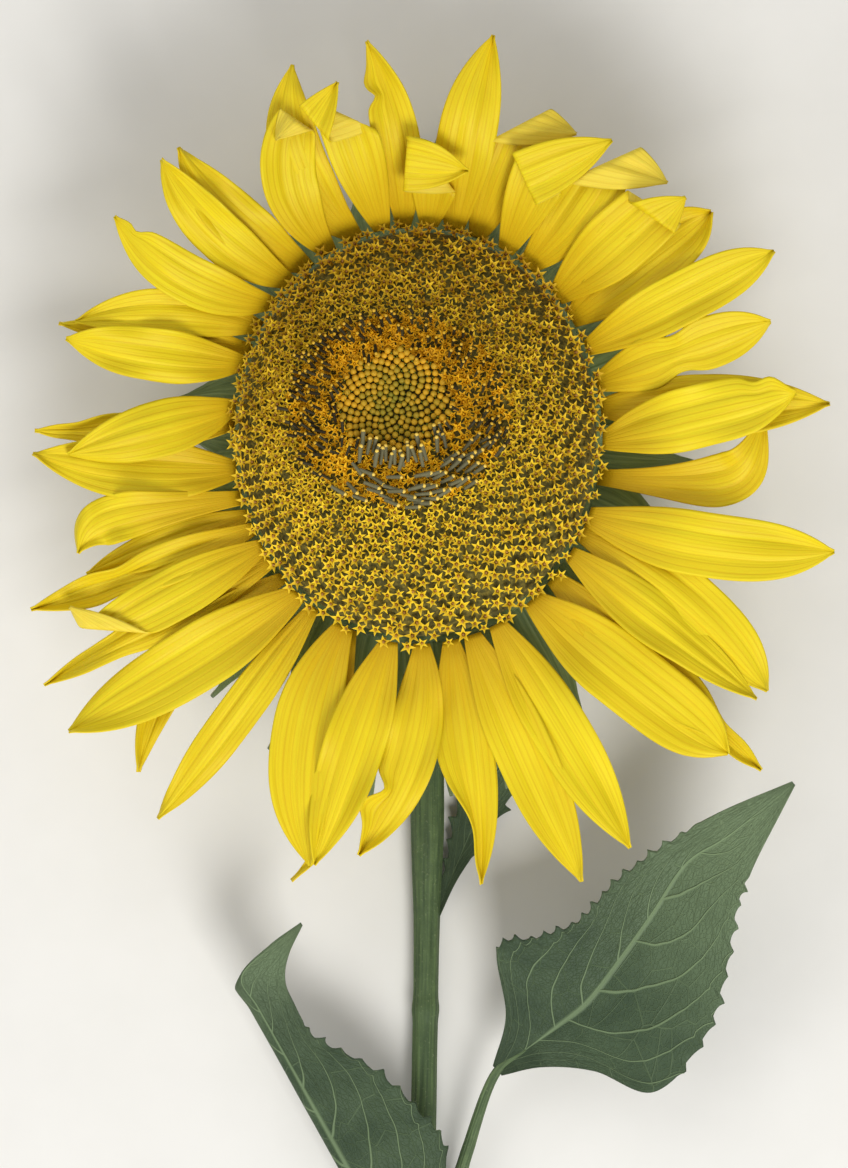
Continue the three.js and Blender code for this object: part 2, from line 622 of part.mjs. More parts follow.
const LEAVES = [
  {
    name: "leaf_right",
    middle: [
      [20.6, -165, 14], [29.5, -158.3, 17.5], [36.5, -153, 20], [44, -146.3, 23], [53, -134, 27],
      [60.5, -123, 31], [69, -110, 36], [80, -102.5, 42], [95.6, -89.3, 50],
    ],
    left: [
      [19.4, -163.8], [22.5, -150], [20, -131.6], [30, -129], [41, -124.8],
      [50, -115], [62, -105.8], [77, -96.8], [95.2, -88.8],
    ],
    right: [
      [21.8, -166.4], [32.5, -164], [46, -165], [61, -170], [73.5, -157],
      [79, -141], [82, -123], [86, -110.5], [96, -89.8],
    ],
    slopeLeft: [14, 14, 12, 10],
    slopeRight: [-8, -4, 4, 8, 10],
    columns: [-1, -0.66, -0.33, 0, 0.33, 0.66, 1],
  },
  {
    name: "leaf_left",
    middle: [
      [-2, -220, 15], [-11, -203.5, 17], [-20, -187, 19.5], [-27.8, -172.8, 21], [-35.6, -158.5, 23],
      [-41.5, -147.8, 25], [-45.7, -140, 27.5], [-38, -132, 31], [-30, -126, 33],
    ],
    left: [
      [-3.3, -220.7], [-26, -208], [-37, -196], [-43.5, -181.5], [-47, -165],
      [-49.5, -152.5], [-46.3, -140], [-38.4, -131.6], [-30.3, -125.6],
    ],
    right: [
      [-0.7, -219.3], [7.5, -188], [0.5, -175], [-12, -163.5], [-26.5, -155.5],
      [-32.5, -146], [-34.3, -140.5], [-33.3, -134], [-29.8, -126.4],
    ],
    slopeLeft: [-60, -165, -165, -165, -165, -165, -165, 0, 0],
    slopeRight: [2, 6],
    columns: [-1, -0.65, -0.3, -0.2, -0.1, 0, 0.33, 0.66, 1],
  },
  {
    name: "leaf_small",
    middle: [[4, -127, 4.2], [8.4, -116, 3.9], [13, -105, 3.5], [18.5, -92, 3], [24, -78, 2.4], [29, -64, 1.8]],
    left: [[3.2, -126.7], [6.3, -114.8], [8.5, -103], [12.3, -89], [19, -75.5], [28.5, -63.8]],
    right: [[4.8, -127.3], [10.2, -116], [17.2, -105.5], [25, -93.5], [29.8, -80], [29.5, -64.2]],
    slopeLeft: [6, 4],
    slopeRight: [4, 4],
    columns: [-1, -0.5, 0, 0.5, 1],
  },
];
for (const leaf of LEAVES) add(leaf.name, againstStem(blade(leaf)), COLOUR.leaf, 0.85);

const STALKS = [
  ["stalk_right", [[3.4, -217, 4], [8, -203, 6.5], [12.5, -187, 10], [19.6, -166.7, 13.8]], 2.4, 1.8],
  ["stalk_left", [[0.7, -243, 5.5], [0.8, -236, 9.5], [0.2, -228, 12.5], [-1.6, -220.6, 14.6]], 2, 1.4],
];
for (const [name, stops, thick, thin] of STALKS) {
  const stalk = loft(limb(through(stops), (t) => thick + (thin - thick) * t, 10, 8));
  add(name, againstStem(stalk), COLOUR.stem, 0.75);
}

// ---- Origin: middle of the floor of the whole box -----------------------------------------
const box = new THREE.Box3().setFromObject(flower);
const shift = new THREE.Vector3(
  -(box.min.x + box.max.x) / 2,
  -(box.min.y + box.max.y) / 2,
  -box.min.z
);
for (const mesh of flower.children) mesh.geometry.translate(shift.x, shift.y, shift.z);

export default flower;
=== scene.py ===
# Cut sunflower lying on its back with its face up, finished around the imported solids.
import math
import random

import bpy
import numpy as np
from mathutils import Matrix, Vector, noise


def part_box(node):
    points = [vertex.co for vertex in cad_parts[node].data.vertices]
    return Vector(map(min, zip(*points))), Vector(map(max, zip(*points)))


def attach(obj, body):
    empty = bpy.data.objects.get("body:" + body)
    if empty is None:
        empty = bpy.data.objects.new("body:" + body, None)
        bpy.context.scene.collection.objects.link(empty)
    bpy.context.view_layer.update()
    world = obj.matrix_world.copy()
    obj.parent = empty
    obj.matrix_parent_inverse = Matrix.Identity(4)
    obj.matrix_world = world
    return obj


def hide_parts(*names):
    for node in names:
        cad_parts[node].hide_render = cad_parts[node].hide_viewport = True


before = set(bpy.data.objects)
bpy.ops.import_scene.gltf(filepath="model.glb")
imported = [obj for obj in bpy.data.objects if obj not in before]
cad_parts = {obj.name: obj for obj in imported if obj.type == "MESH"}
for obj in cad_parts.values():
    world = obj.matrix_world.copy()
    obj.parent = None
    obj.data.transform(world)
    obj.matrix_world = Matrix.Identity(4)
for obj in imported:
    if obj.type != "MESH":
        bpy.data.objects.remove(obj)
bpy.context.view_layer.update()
bpy.ops.object.select_all(action="DESELECT")


# ---- Green back of the head -------------------------------------------------------------
# The fleshy green receptacle that carries the whole head: a shallow dish with a thick
# rim, domed underneath and drawn in to the neck. Pale green, smooth to the touch.
# All sizes are millimetres from the middle of the disc, with z from the floor.
disc_low, disc_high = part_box("disc_open_florets")
middle = (disc_low + disc_high) / 2
WALL_X = (disc_high.x - disc_low.x) * 500        # half widths of the floret wall
WALL_Y = (disc_high.y - disc_low.y) * 500
RIM_X = WALL_X + 1                               # and of the rim outside it
RIM_Y = WALL_Y + 1
RIM_HEIGHT = 41
RIM_RISE_RIGHT = 2.2
RIM_FALL_TOP = 10
DISC_DEPTH = 7
BACK_DEPTH = 13
NECK_TOP = (1.5, -10.5)


def spot(x, y, z):
    return Vector((middle.x + x / 1000, middle.y + y / 1000, z / 1000))


def colour(red, green, blue, alpha=1.0):
    """Colour as the eye names it, 0 to 255, in the light that the shader reckons in."""
    parts = [value / 255 for value in (red, green, blue)]
    return tuple(v / 12.92 if v <= 0.04045 else ((v + 0.055) / 1.055) ** 2.4 for v in parts) + (alpha,)


def clamp(value, low=0.0, high=1.0):
    return min(high, max(low, value))


def smooth(t):
    t = clamp(t)
    return t * t * (3 - 2 * t)


def run(stops, t):
    """Straight run through (place, value) stops."""
    if t <= stops[0][0]:
        return stops[0][1]
    for (a, low), (b, high) in zip(stops, stops[1:]):
        if t <= b:
            return low + (high - low) * (t - a) / (b - a)
    return stops[-1][1]


def rim_plane(x, y):
    """The rim of the disc lies tilted: higher at the right, lower at the top."""
    return RIM_HEIGHT + RIM_RISE_RIGHT * x / RIM_X - RIM_FALL_TOP * y / RIM_Y


def rim_radius(angle):
    return RIM_X * RIM_Y / math.hypot(RIM_Y * math.cos(angle), RIM_X * math.sin(angle))


def woven(name, columns, rows, where, closed=False):
    """A grid whose crossings are moved to where(column, row), which gives a place and
    its own pattern place. A closed one is wrapped round into a tube and welded."""
    bpy.ops.mesh.primitive_grid_add(x_subdivisions=columns, y_subdivisions=rows, size=1)
    piece = bpy.context.object
    piece.name = name
    piece.data.name = name
    mesh = piece.data
    places = {}
    for point in mesh.vertices:
        column = round((point.co.x + 0.5) * columns)
        row = round((point.co.y + 0.5) * rows)
        place, pattern = where(column, row)
        point.co = place
        places[point.index] = pattern
    patterns = mesh.uv_layers.active.data
    for loop in mesh.loops:
        patterns[loop.index].uv = places[loop.vertex_index]
    if closed:
        bpy.ops.object.mode_set(mode="EDIT")
        bpy.ops.mesh.select_all(action="SELECT")
        bpy.ops.mesh.remove_doubles(threshold=0.00002)
        bpy.ops.mesh.normals_make_consistent(inside=False)
        bpy.ops.object.mode_set(mode="OBJECT")
    bpy.ops.object.shade_smooth()
    return piece


def thicken(piece, thick):
    """Gives a sheet its thickness, half to each side, with the second finish behind."""
    bpy.context.view_layer.objects.active = piece
    bpy.ops.object.modifier_add(type="SOLIDIFY")
    wall = piece.modifiers[-1]
    wall.thickness = thick / 1000
    wall.offset = 0
    wall.material_offset = 1
    wall.material_offset_rim = 0
    bpy.ops.object.modifier_apply(modifier=wall.name)


def put_away():
    """Lets go of the finished piece, so that no later step acts on it."""
    bpy.ops.object.select_all(action="DESELECT")


class Finish:
    """A material under making, with its nodes added one after another."""

    def __init__(self, name, roughness):
        self.material = bpy.data.materials.new(name)
        self.material.use_nodes = True
        self.nodes = self.material.node_tree.nodes
        self.links = self.material.node_tree.links
        self.shader = self.nodes["Principled BSDF"]
        self.shader.inputs["Roughness"].default_value = roughness

    def add(self, kind, settings=None, **inputs):
        node = self.nodes.new("ShaderNode" + kind)
        for key, value in (settings or {}).items():
            setattr(node, key, value)
        for key, value in inputs.items():
            self.set(node, key, value)
        return node

    def set(self, node, key, value):
        socket = node.inputs[int(key[1:])] if key[0] == "i" and key[1:].isdigit() else node.inputs[key]
        if hasattr(value, "is_output"):
            self.links.new(value, socket)
        else:
            socket.default_value = value

    def sum(self, how, a, b=0.0, clamped=False):
        node = self.add("Math", {"operation": how, "use_clamp": clamped}, i0=a, i1=b)
        return node.outputs[0]

    def mix(self, share, first, second, how="MIX"):
        node = self.nodes.new("ShaderNodeMix")
        node.data_type = "RGBA"
        node.blend_type = how
        for key, value in ((0, share), (6, first), (7, second)):
            if hasattr(value, "is_output"):
                self.links.new(value, node.inputs[key])
            else:
                node.inputs[key].default_value = value
        return node.outputs[2]

    def stretched(self, vector, x, y, z=1.0):
        node = self.add("Mapping", None, Vector=vector, Scale=(x, y, z))
        return node.outputs[0]

    def grain(self, vector, scale, detail=3.0, rough=0.55):
        node = self.add("TexNoise", None, Vector=vector, Scale=scale, Detail=detail, Roughness=rough)
        return node.outputs[0]

    def between(self, value, low, high, to_low=0.0, to_high=1.0):
        node = self.add("MapRange", {"clamp": True}, i0=value, i1=low, i2=high, i3=to_low, i4=to_high)
        return node.outputs[0]

    def relief(self, height, depth_mm, strength=1.0):
        node = self.add("Bump", None, Height=height, Distance=depth_mm / 1000, Strength=strength)
        self.links.new(node.outputs[0], self.shader.inputs["Normal"])

    def paint(self, value):
        self.links.new(value, self.shader.inputs["Base Color"])


def green_finish(name, deep, pale, roughness=0.6, grain_mm=3.0):
    """Plant green, mottled, with fine pores."""
    finish = Finish(name, roughness)
    place = finish.add("TexCoord").outputs["Object"]
    cloud = finish.between(finish.grain(place, 1000 / grain_mm / 4), 0.35, 0.65)
    pores = finish.grain(place, 1000 / grain_mm * 2.5, 2)
    tone = finish.mix(cloud, colour(*deep), colour(*pale))
    tone = finish.mix(finish.between(pores, 0.4, 0.75, 0, 0.35), tone, colour(*deep))
    finish.paint(tone)
    finish.relief(pores, 0.12, 0.6)
    finish.shader.inputs["Sheen Weight"].default_value = 0.25
    finish.shader.inputs["Sheen Roughness"].default_value = 0.4
    return finish.material


back_green = green_finish("receptacle green", (74, 96, 48), (112, 132, 72))

BACK_ROUND = 72
BACK_PROFILE = [
    # (share of the wall, depth under the rim plane)
    (0.0, DISC_DEPTH + 0.3),
    (0.6, DISC_DEPTH + 0.3),
    (0.97, DISC_DEPTH + 0.3),
    (1.005, DISC_DEPTH + 1.2),
    (1.01, DISC_DEPTH + 2.6),
    (0.97, DISC_DEPTH + 5),
    (0.89, DISC_DEPTH + 7.4),
    (0.78, DISC_DEPTH + 9.5),
    (0.64, DISC_DEPTH + 11.2),
    (0.5, DISC_DEPTH + 12.2),
    (0.36, DISC_DEPTH + 12.8),
    (0.22, DISC_DEPTH + BACK_DEPTH),
    (0.0, DISC_DEPTH + BACK_DEPTH),
]


def back_place(column, row):
    share, depth = BACK_PROFILE[row]
    angle = 2 * math.pi * column / BACK_ROUND
    shift = 1 - smooth((share - 0.22) / 0.6) if row > 5 else 0
    wall = rim_radius(angle) - 1
    ribs = 0.25 * math.cos(27 * angle) * smooth((share - 0.3) / 0.4) if row > 3 else 0
    x = math.cos(angle) * (wall * share + ribs) + NECK_TOP[0] * shift
    y = math.sin(angle) * (wall * share + ribs) + NECK_TOP[1] * shift
    return spot(x, y, rim_plane(x, y) - depth), (column / BACK_ROUND, row / len(BACK_PROFILE))


back = woven("head_back_green", BACK_ROUND, len(BACK_PROFILE) - 1, back_place, closed=True)
back.data.materials.append(back_green)
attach(back, "root")
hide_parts("head_back")
put_away()


# ---- Bracts -------------------------------------------------------------------------------
# The ring of green bracts round the back of the head, broad at the root and drawn out to
# a thin tip, hairy along their edges. Those at the top hang down to the floor.
BRACT_COUNT = 27
BRACT_FIRST = 7
BRACT_WIDE = 16
BRACT_THICK = 0.8
BRACT_ROWS = 26
BRACT_COLUMNS = 10
BRACT_HALF = [
    (0, 0.8), (0.14, 0.95), (0.28, 1), (0.42, 0.82), (0.55, 0.56), (0.7, 0.3), (0.85, 0.14), (1, 0.04),
]

bract_finish = Finish("bract green", 0.62)
pattern = bract_finish.add("UVMap").outputs[0]
ribs = bract_finish.grain(bract_finish.stretched(pattern, 14, 1.2), 1.0, 4)
across = bract_finish.add("SeparateXYZ", None, Vector=pattern)
from_middle = bract_finish.sum("ABSOLUTE", bract_finish.sum("SUBTRACT", across.outputs[0], 0.5))
tone = bract_finish.mix(bract_finish.between(ribs, 0.35, 0.65), colour(88, 112, 62), colour(128, 150, 98))
tone = bract_finish.mix(bract_finish.between(from_middle, 0.02, 0.0, 0, 0.5), tone, colour(150, 168, 118))
tone = bract_finish.mix(bract_finish.between(across.outputs[1], 0.5, 1.0, 0, 0.6), tone, colour(92, 106, 60))
bract_finish.paint(tone)
bract_finish.relief(ribs, 0.35)
bract_finish.shader.inputs["Sheen Weight"].default_value = 0.3


def bract_place(number):
    degrees = BRACT_FIRST + 360 / BRACT_COUNT * number
    angle = math.radians(degrees)
    rim = rim_radius(angle)
    below = max(0, -math.sin(angle))
    above = max(0, math.sin(angle))
    at_left = max(0, -math.cos(angle))
    reach = 24 + 17 * below + 5 * above - 9 * at_left ** 2 + 2 * math.sin(2.4 * number)
    sway = 5 * math.sin(1.7 * number)
    out_x, out_y = math.cos(angle), math.sin(angle)
    root = rim_plane(out_x * rim, out_y * rim) - DISC_DEPTH - 3.4
    hangs = smooth((math.sin(angle) - 0.35) / 0.3)
    tip = (1 - hangs) * (root - 9 - 2 * math.sin(3 * number)) + hangs * (BRACT_THICK / 2 + 0.1)

    def where(column, row):
        s = row / BRACT_ROWS
        v = 2 * column / BRACT_COLUMNS - 1
        half = BRACT_WIDE / 2 * run(BRACT_HALF, s)
        spread = rim - 5 + (reach + 5) * s
        across = -v * half + sway * s * s
        height = root + (tip - root) * s ** 1.4
        height += (number % 2) * 0.2 + 0.8 * v * v * (1 - s)
        height += 0.25 * math.cos(5 * math.pi * v) * (1 - s) * smooth(3 * s)
        height += 0.5 * math.sin(9 * s + number) * v * smooth(2 * s)
        height = max(height, BRACT_THICK / 2 + 0.05)
        x = out_x * spread - out_y * across
        y = out_y * spread + out_x * across
        return spot(x, y, height), (column / BRACT_COLUMNS, s)

    return where


leaflets = []
for number in range(BRACT_COUNT):
    bract = woven(f"bract_{number + 1:02d}", BRACT_COLUMNS, BRACT_ROWS, bract_place(number))
    bract.data.materials.append(bract_finish.material)
    bract.data.materials.append(bract_finish.material)
    thicken(bract, BRACT_THICK)
    leaflets.append(bract)
bpy.ops.object.select_all(action="DESELECT")
for bract in leaflets:
    bract.select_set(True)
bpy.context.view_layer.objects.active = leaflets[0]
bpy.ops.object.join()
bracts = bpy.context.object
bracts.name = "bracts"
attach(bracts, "root")
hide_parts("head_back")
put_away()


# ---- Disc: the bed that the florets stand in ------------------------------------------------
# The top of the receptacle between the florets: chaffy, dark olive and brown, domed with
# a hollow in the middle. It only shows in the gaps.
DOME = 12.5
DOME_PROFILE = [(0, 0.64), (0.25, 0.76), (0.52, 1), (0.75, 0.86), (0.9, 0.5), (1, 0)]
BUD_MIDDLE = (-6.5, 8)
BUD_EDGE = 0.255
ANTHER_EDGE = 0.515
HALF_WIDTHS = [(0, 0), (BUD_EDGE, 13), (ANTHER_EDGE, 28.5), (1, WALL_X)]
HALF_HEIGHTS = [(0, 0), (BUD_EDGE, 13), (ANTHER_EDGE, 24.5), (1, WALL_Y)]
BED_ROUND = 72
BED_UNDER = 1.8
BED_SEAT = 0.8          # how far the bed sinks into the head's back


def disc_spot(share, angle, above):
    """Place on the disc; share 0 is the middle of the buds and 1 the outer wall."""
    x = math.cos(angle) * run(HALF_WIDTHS, share) + BUD_MIDDLE[0] * (1 - share * share)
    y = math.sin(angle) * run(HALF_HEIGHTS, share) + BUD_MIDDLE[1] * (1 - share * share)
    return spot(x, y, rim_plane(x, y) + above)


def dome(share):
    return DOME * run(DOME_PROFILE, share)


BED_ROWS = [(share / 20, dome(share / 20) - BED_UNDER) for share in range(20)]
BED_ROWS += [(0.985, -BED_UNDER - 1), (0.985, -DISC_DEPTH - BED_SEAT), (0, -DISC_DEPTH - BED_SEAT)]

bed_finish = Finish("chaff between the florets", 0.9)
place = bed_finish.add("TexCoord").outputs["Object"]
flecks = bed_finish.grain(place, 900, 2)
tone = bed_finish.mix(bed_finish.between(flecks, 0.4, 0.65), colour(74, 68, 20), colour(122, 108, 36))
bed_finish.paint(tone)
bed_finish.relief(flecks, 0.4)


def bed_place(column, row):
    share, above = BED_ROWS[row]
    angle = 2 * math.pi * column / BED_ROUND
    return disc_spot(share, angle, above), (column / BED_ROUND, row / len(BED_ROWS))


bed = woven("disc_bed", BED_ROUND, len(BED_ROWS) - 1, bed_place, closed=True)
bed.data.materials.append(bed_finish.material)
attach(bed, "root")
put_away()


# ---- Disc: open florets -----------------------------------------------------------------------
# Some sixteen hundred small tubes, each opening into a five-pointed golden star round a brown
# stigma. They stand in one spiral, wider apart towards the rim, and lean out over it.
SPACING = [(0, 1.5), (BUD_EDGE, 1.95), (0.3, 1.9), (ANTHER_EDGE, 2.05), (0.75, 2.35), (1, 2.7)]
SPIRAL_TURN = math.pi * (3 - math.sqrt(5))

FLORET_STEPS = 8000   # enough that no step along the share needs two florets
florets = []          # (share, angle)
covered = 0.0
for step in range(FLORET_STEPS):
    share = step / FLORET_STEPS
    if math.pi * run(HALF_WIDTHS, share) * run(HALF_HEIGHTS, share) >= covered:
        florets.append((share, len(florets) * SPIRAL_TURN))
        covered += 0.866 * run(SPACING, share) ** 2


def gold_finish(name, deep, bright, roughness=0.55):
    """Small parts of the disc: each takes its own tone between the two; on the florets and anther tubes that
    value also holds painted light, lighter towards the bottom of the disc.
    """
    finish = Finish(name, roughness)
    finish.shader.inputs["Specular IOR Level"].default_value = 0.15
    tone_and_painted_light = finish.add("Attribute", {"attribute_name": "tone_and_painted_light"}).outputs["Fac"]
    grain = finish.grain(finish.add("TexCoord").outputs["Object"], 2500, 2)
    share = finish.sum("ADD", finish.sum("MULTIPLY", grain, 0.5), finish.sum("SUBTRACT", tone_and_painted_light, 0.25), True)
    finish.paint(finish.mix(share, colour(*deep), colour(*bright)))
    return finish.material


def select_points(piece, wanted):
    """In edit mode: selects the points for which wanted(place) holds."""
    bpy.ops.mesh.select_all(action="DESELECT")
    bpy.ops.object.mode_set(mode="OBJECT")
    for point in piece.data.vertices:
        point.select = wanted(point.co * 1000)
    bpy.ops.object.mode_set(mode="EDIT")


def scattered(name, model, places, materials):
    """Copies of a small model, one at each (place, up, lean, size, spin, tone and painted light), joined."""
    mesh = model.data
    corners = np.array([list(point.co) for point in mesh.vertices])
    faces = [list(face.vertices) for face in mesh.polygons]
    slots = [face.material_index for face in mesh.polygons]
    points = []
    polygons = []
    tone_and_painted_light_values = []
    for place, up, heading, size, spin, tone_and_painted_light in places:
        up = up.normalized()
        side = heading - up * heading.dot(up)
        side.normalize()
        other = up.cross(side)
        turned_x = side * math.cos(spin) + other * math.sin(spin)
        turned_y = up.cross(turned_x)
        turn = np.array([list(turned_x), list(turned_y), list(up)])
        first = len(points) * len(corners)
        points.append(corners * size @ turn + np.array(place))
        polygons += [[first + corner for corner in face] for face in faces]
        tone_and_painted_light_values += [tone_and_painted_light] * len(corners)
    joined = bpy.data.meshes.new(name)
    joined.from_pydata(np.concatenate(points).tolist(), [], polygons)
    joined.polygons.foreach_set("material_index", slots * len(places))
    joined.polygons.foreach_set("use_smooth", [True] * len(polygons))
    joined.attributes.new("tone_and_painted_light", "FLOAT", "POINT").data.foreach_set("value", tone_and_painted_light_values)
    for material in materials:
        joined.materials.append(material)
    joined.update()
    piece = bpy.data.objects.new(name, joined)
    bpy.context.scene.collection.objects.link(piece)
    return piece


def fuse(model, part, finishes):
    """Joins a small part onto a model: the model in the first finish, the part in the second."""
    for material in finishes:
        part.data.materials.append(material)
        model.data.materials.append(material)
    for face in part.data.polygons:
        face.material_index = 1
    model.select_set(True)
    bpy.context.view_layer.objects.active = model
    bpy.ops.object.join()
    bpy.ops.object.transform_apply(location=True, rotation=True, scale=True)


def disc_frame(share, angle, above):
    """Place on the disc, the way up there, and the way out from the middle."""
    here = disc_spot(share, angle, dome(share) + above)
    inside = disc_spot(share - 0.02, angle, dome(share - 0.02) + above)
    beside = disc_spot(share, angle + 0.02, dome(share) + above)
    out = (here - inside).normalized()
    up = out.cross(beside - here).normalized()
    return here, up, out


star_gold = gold_finish("corolla gold", (190, 146, 26), (250, 214, 48))
stigma_brown = gold_finish("stigma brown", (128, 88, 44), (176, 130, 72), 0.75)
STAR_FINISHES = [star_gold, stigma_brown]

# One star: a ten-sided mouth, pulled out to five points and down into a tube, with the
# stigma as a small peg inside it.
STAR_MOUTH = 0.5
STAR_NOTCH = 0.74
STAR_REACH = 1.95
STAR_CREASE = 0.22                               # how far each lobe is folded in along itself
STAR_TUBE = 1.8
TIP_RISE = 0.45
NOTCH_RISE = 0.2
FLORET_SUNK = 0.3
FLORET_JITTER = 0.6
OVER_RIM = (1.6, 0.6)                            # how far the last ones stand out and up
bpy.ops.mesh.primitive_circle_add(vertices=10, radius=STAR_MOUTH / 1000, fill_type="NOTHING")
star = bpy.context.object
bpy.ops.object.mode_set(mode="EDIT")
bpy.ops.mesh.select_all(action="SELECT")
bpy.ops.mesh.extrude_edges_move(TRANSFORM_OT_translate={"value": (0, 0, -STAR_TUBE / 1000)})
bpy.ops.transform.resize(value=(0.62, 0.62, 1))
select_points(star, lambda p: p.z > -0.1)
bpy.ops.mesh.extrude_edges_move(TRANSFORM_OT_translate={"value": (0, 0, 0.00012)})
bpy.ops.object.mode_set(mode="OBJECT")
for point in star.data.vertices:
    x, y, z = point.co * 1000
    angle = math.atan2(y, x)
    tip = math.sin(5 * angle) > 0
    if z > 0.05:
        reach, rise = (STAR_REACH, TIP_RISE) if tip else (STAR_NOTCH, NOTCH_RISE)
        point.co = Vector((math.cos(angle) * reach, math.sin(angle) * reach, rise)) / 1000
    elif z > -0.05 and tip:
        point.co.z -= STAR_CREASE / 1000
bpy.ops.mesh.primitive_cone_add(
    vertices=5, radius1=0.00038, radius2=0.0002, depth=0.0011, location=(0, 0, -0.0001)
)
fuse(star, bpy.context.object, STAR_FINISHES)

chance = random.Random(5)
older = []
younger = []
for share, angle in florets:
    if share < BUD_EDGE + 0.02:
        continue
    here, up, out = disc_frame(share, angle, -FLORET_SUNK)
    at_rim = smooth((share - 0.8) / 0.2)
    flat_out = Vector((out.x, out.y, 0)).normalized()
    here += (flat_out * OVER_RIM[0] + Vector((0, 0, OVER_RIM[1]))) * (at_rim / 1000)
    here += Vector([chance.uniform(-FLORET_JITTER, FLORET_JITTER) for _ in range(3)]) / 1000
    lean = out * 0.1 + Vector((0, 0, 1.2 * at_rim))
    wobble = Vector([chance.uniform(-0.5, 0.5) for _ in range(3)])
    size = run([(BUD_EDGE, 0.9), (ANTHER_EDGE, 0.84), (0.75, 0.9), (1, 1)], share)
    size *= chance.uniform(0.75, 1.2)
    # Painted light: florets towards the bottom of the disc get a higher value and are painted brighter, on
    # top of a random tone.
    lower = 0.5 - 0.5 * math.sin(angle)
    tone_and_painted_light = clamp(0.2 + 0.6 * lower + chance.uniform(-0.25, 0.25))
    kind = older if share > ANTHER_EDGE else younger
    kind.append((here, up + lean + wobble, out, size, chance.uniform(0, 6.28), tone_and_painted_light))
open_florets = scattered("open_florets", star, older, STAR_FINISHES)
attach(open_florets, "root")
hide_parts("disc_open_florets")

# The corollas round the anthers opened last and are still a deep orange.
young_gold = gold_finish("young corolla orange", (204, 146, 18), (250, 196, 34))
young_florets = scattered("young_florets", star, younger, [young_gold, young_gold])
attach(young_florets, "root")
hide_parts("disc_anthers")
bpy.data.objects.remove(star)


# ---- Disc: anther tubes -------------------------------------------------------------------------
# In the ring between the buds and the older florets, dark ribbed anther tubes stand out of
# the corollas, each with a knob of yellow pollen on its end. The lower ones lie over.
TUBE_LONG = 4.3
TUBE_WIDE = 1.45
TUBE_LIFT = 0.9
KNOB_RADIUS = 0.62
tube_brown = gold_finish("anther brown", (38, 29, 12), (116, 112, 82), 0.6)
pollen = gold_finish("pollen yellow", (206, 160, 40), (250, 214, 100), 0.8)
TUBE_FINISHES = [tube_brown, pollen]
bpy.ops.mesh.primitive_cylinder_add(
    vertices=10, radius=TUBE_WIDE / 2000, depth=TUBE_LONG / 1000,
    location=(0, 0, TUBE_LONG / 2000), end_fill_type="NOTHING",
)
tube = bpy.context.object
bpy.ops.object.transform_apply(location=True)
for point in tube.data.vertices:
    ridge = 1.0 if round(math.degrees(math.atan2(point.co.y, point.co.x)) / 36) % 2 else 0.72
    taper = 0.8 if point.co.z < 0.001 else 1.0
    point.co.x *= ridge * taper
    point.co.y *= ridge * taper
bpy.ops.mesh.primitive_uv_sphere_add(
    segments=6, ring_count=4, radius=KNOB_RADIUS / 1000, location=(0, 0, TUBE_LONG / 1000)
)
fuse(tube, bpy.context.object, TUBE_FINISHES)

# Which way the tubes lean, in degrees round the ring: those on the inside lean up the
# slope of the buds, and those on the outside fall outwards and to the right.
INNER_HEADING = [
    (-130, 75), (-100, 85), (-60, 98), (-25, 128), (0, 150), (60, 230), (120, 275), (170, 120), (230, 75),
]
OUTER_HEADING = [
    (-130, -40), (-95, -8), (-60, 25), (-30, 42), (0, 60),
    (45, 76), (90, 112), (135, 142), (180, 160), (230, 158),
]
LEAN = [(-130, 72), (-60, 76), (-30, 68), (0, 36), (45, 22), (90, 34), (135, 44), (180, 56), (230, 64)]
OFTEN = [(-130, 0.35), (-60, 0.5), (-20, 0.45), (20, 0.3), (90, 0.4), (150, 0.55), (230, 0.45)]
INNER_SHARE = 0.36
INNER_OFTEN = [(-130, 1), (-40, 1), (0, 0.5), (90, 0.4), (180, 0.35), (230, 0.7)]
places = []
for share, angle in florets:
    if not BUD_EDGE + 0.01 < share < ANTHER_EDGE + 0.01:
        continue
    around = math.degrees(angle) % 360
    around -= 360 if around > 230 else 0
    inner = share < INNER_SHARE
    if chance.random() > run(OFTEN, around) * (run(INNER_OFTEN, around) if inner else 1.0):
        continue
    below = smooth((-around - 10) / 50) * smooth((around + 150) / 20)
    here, up, out = disc_frame(share, angle, TUBE_LIFT)
    heading = run(INNER_HEADING if inner else OUTER_HEADING, around) + chance.uniform(-16, 16)
    lean = math.radians(run(LEAN, around) + chance.uniform(-8, 8))
    side = Vector((math.cos(math.radians(heading)), math.sin(math.radians(heading)), 0))
    way = Vector((0, 0, 1)) * math.cos(lean) + side * math.sin(lean)
    size = chance.uniform(0.85, 1.02) * (0.78 + 0.22 * below)
    # Painted light: tubes and their pollen towards the bottom of the ring are painted lighter, on top of a
    # random tone.
    tone_and_painted_light = clamp(0.1 + 0.75 * below + chance.uniform(-0.1, 0.1))
    places.append((here, way, out, size, chance.uniform(0, 6.28), tone_and_painted_light))
anther_tubes = scattered("anther_tubes", tube, places, TUBE_FINISHES)
bpy.data.objects.remove(tube)
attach(anther_tubes, "root")
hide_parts("disc_anthers")


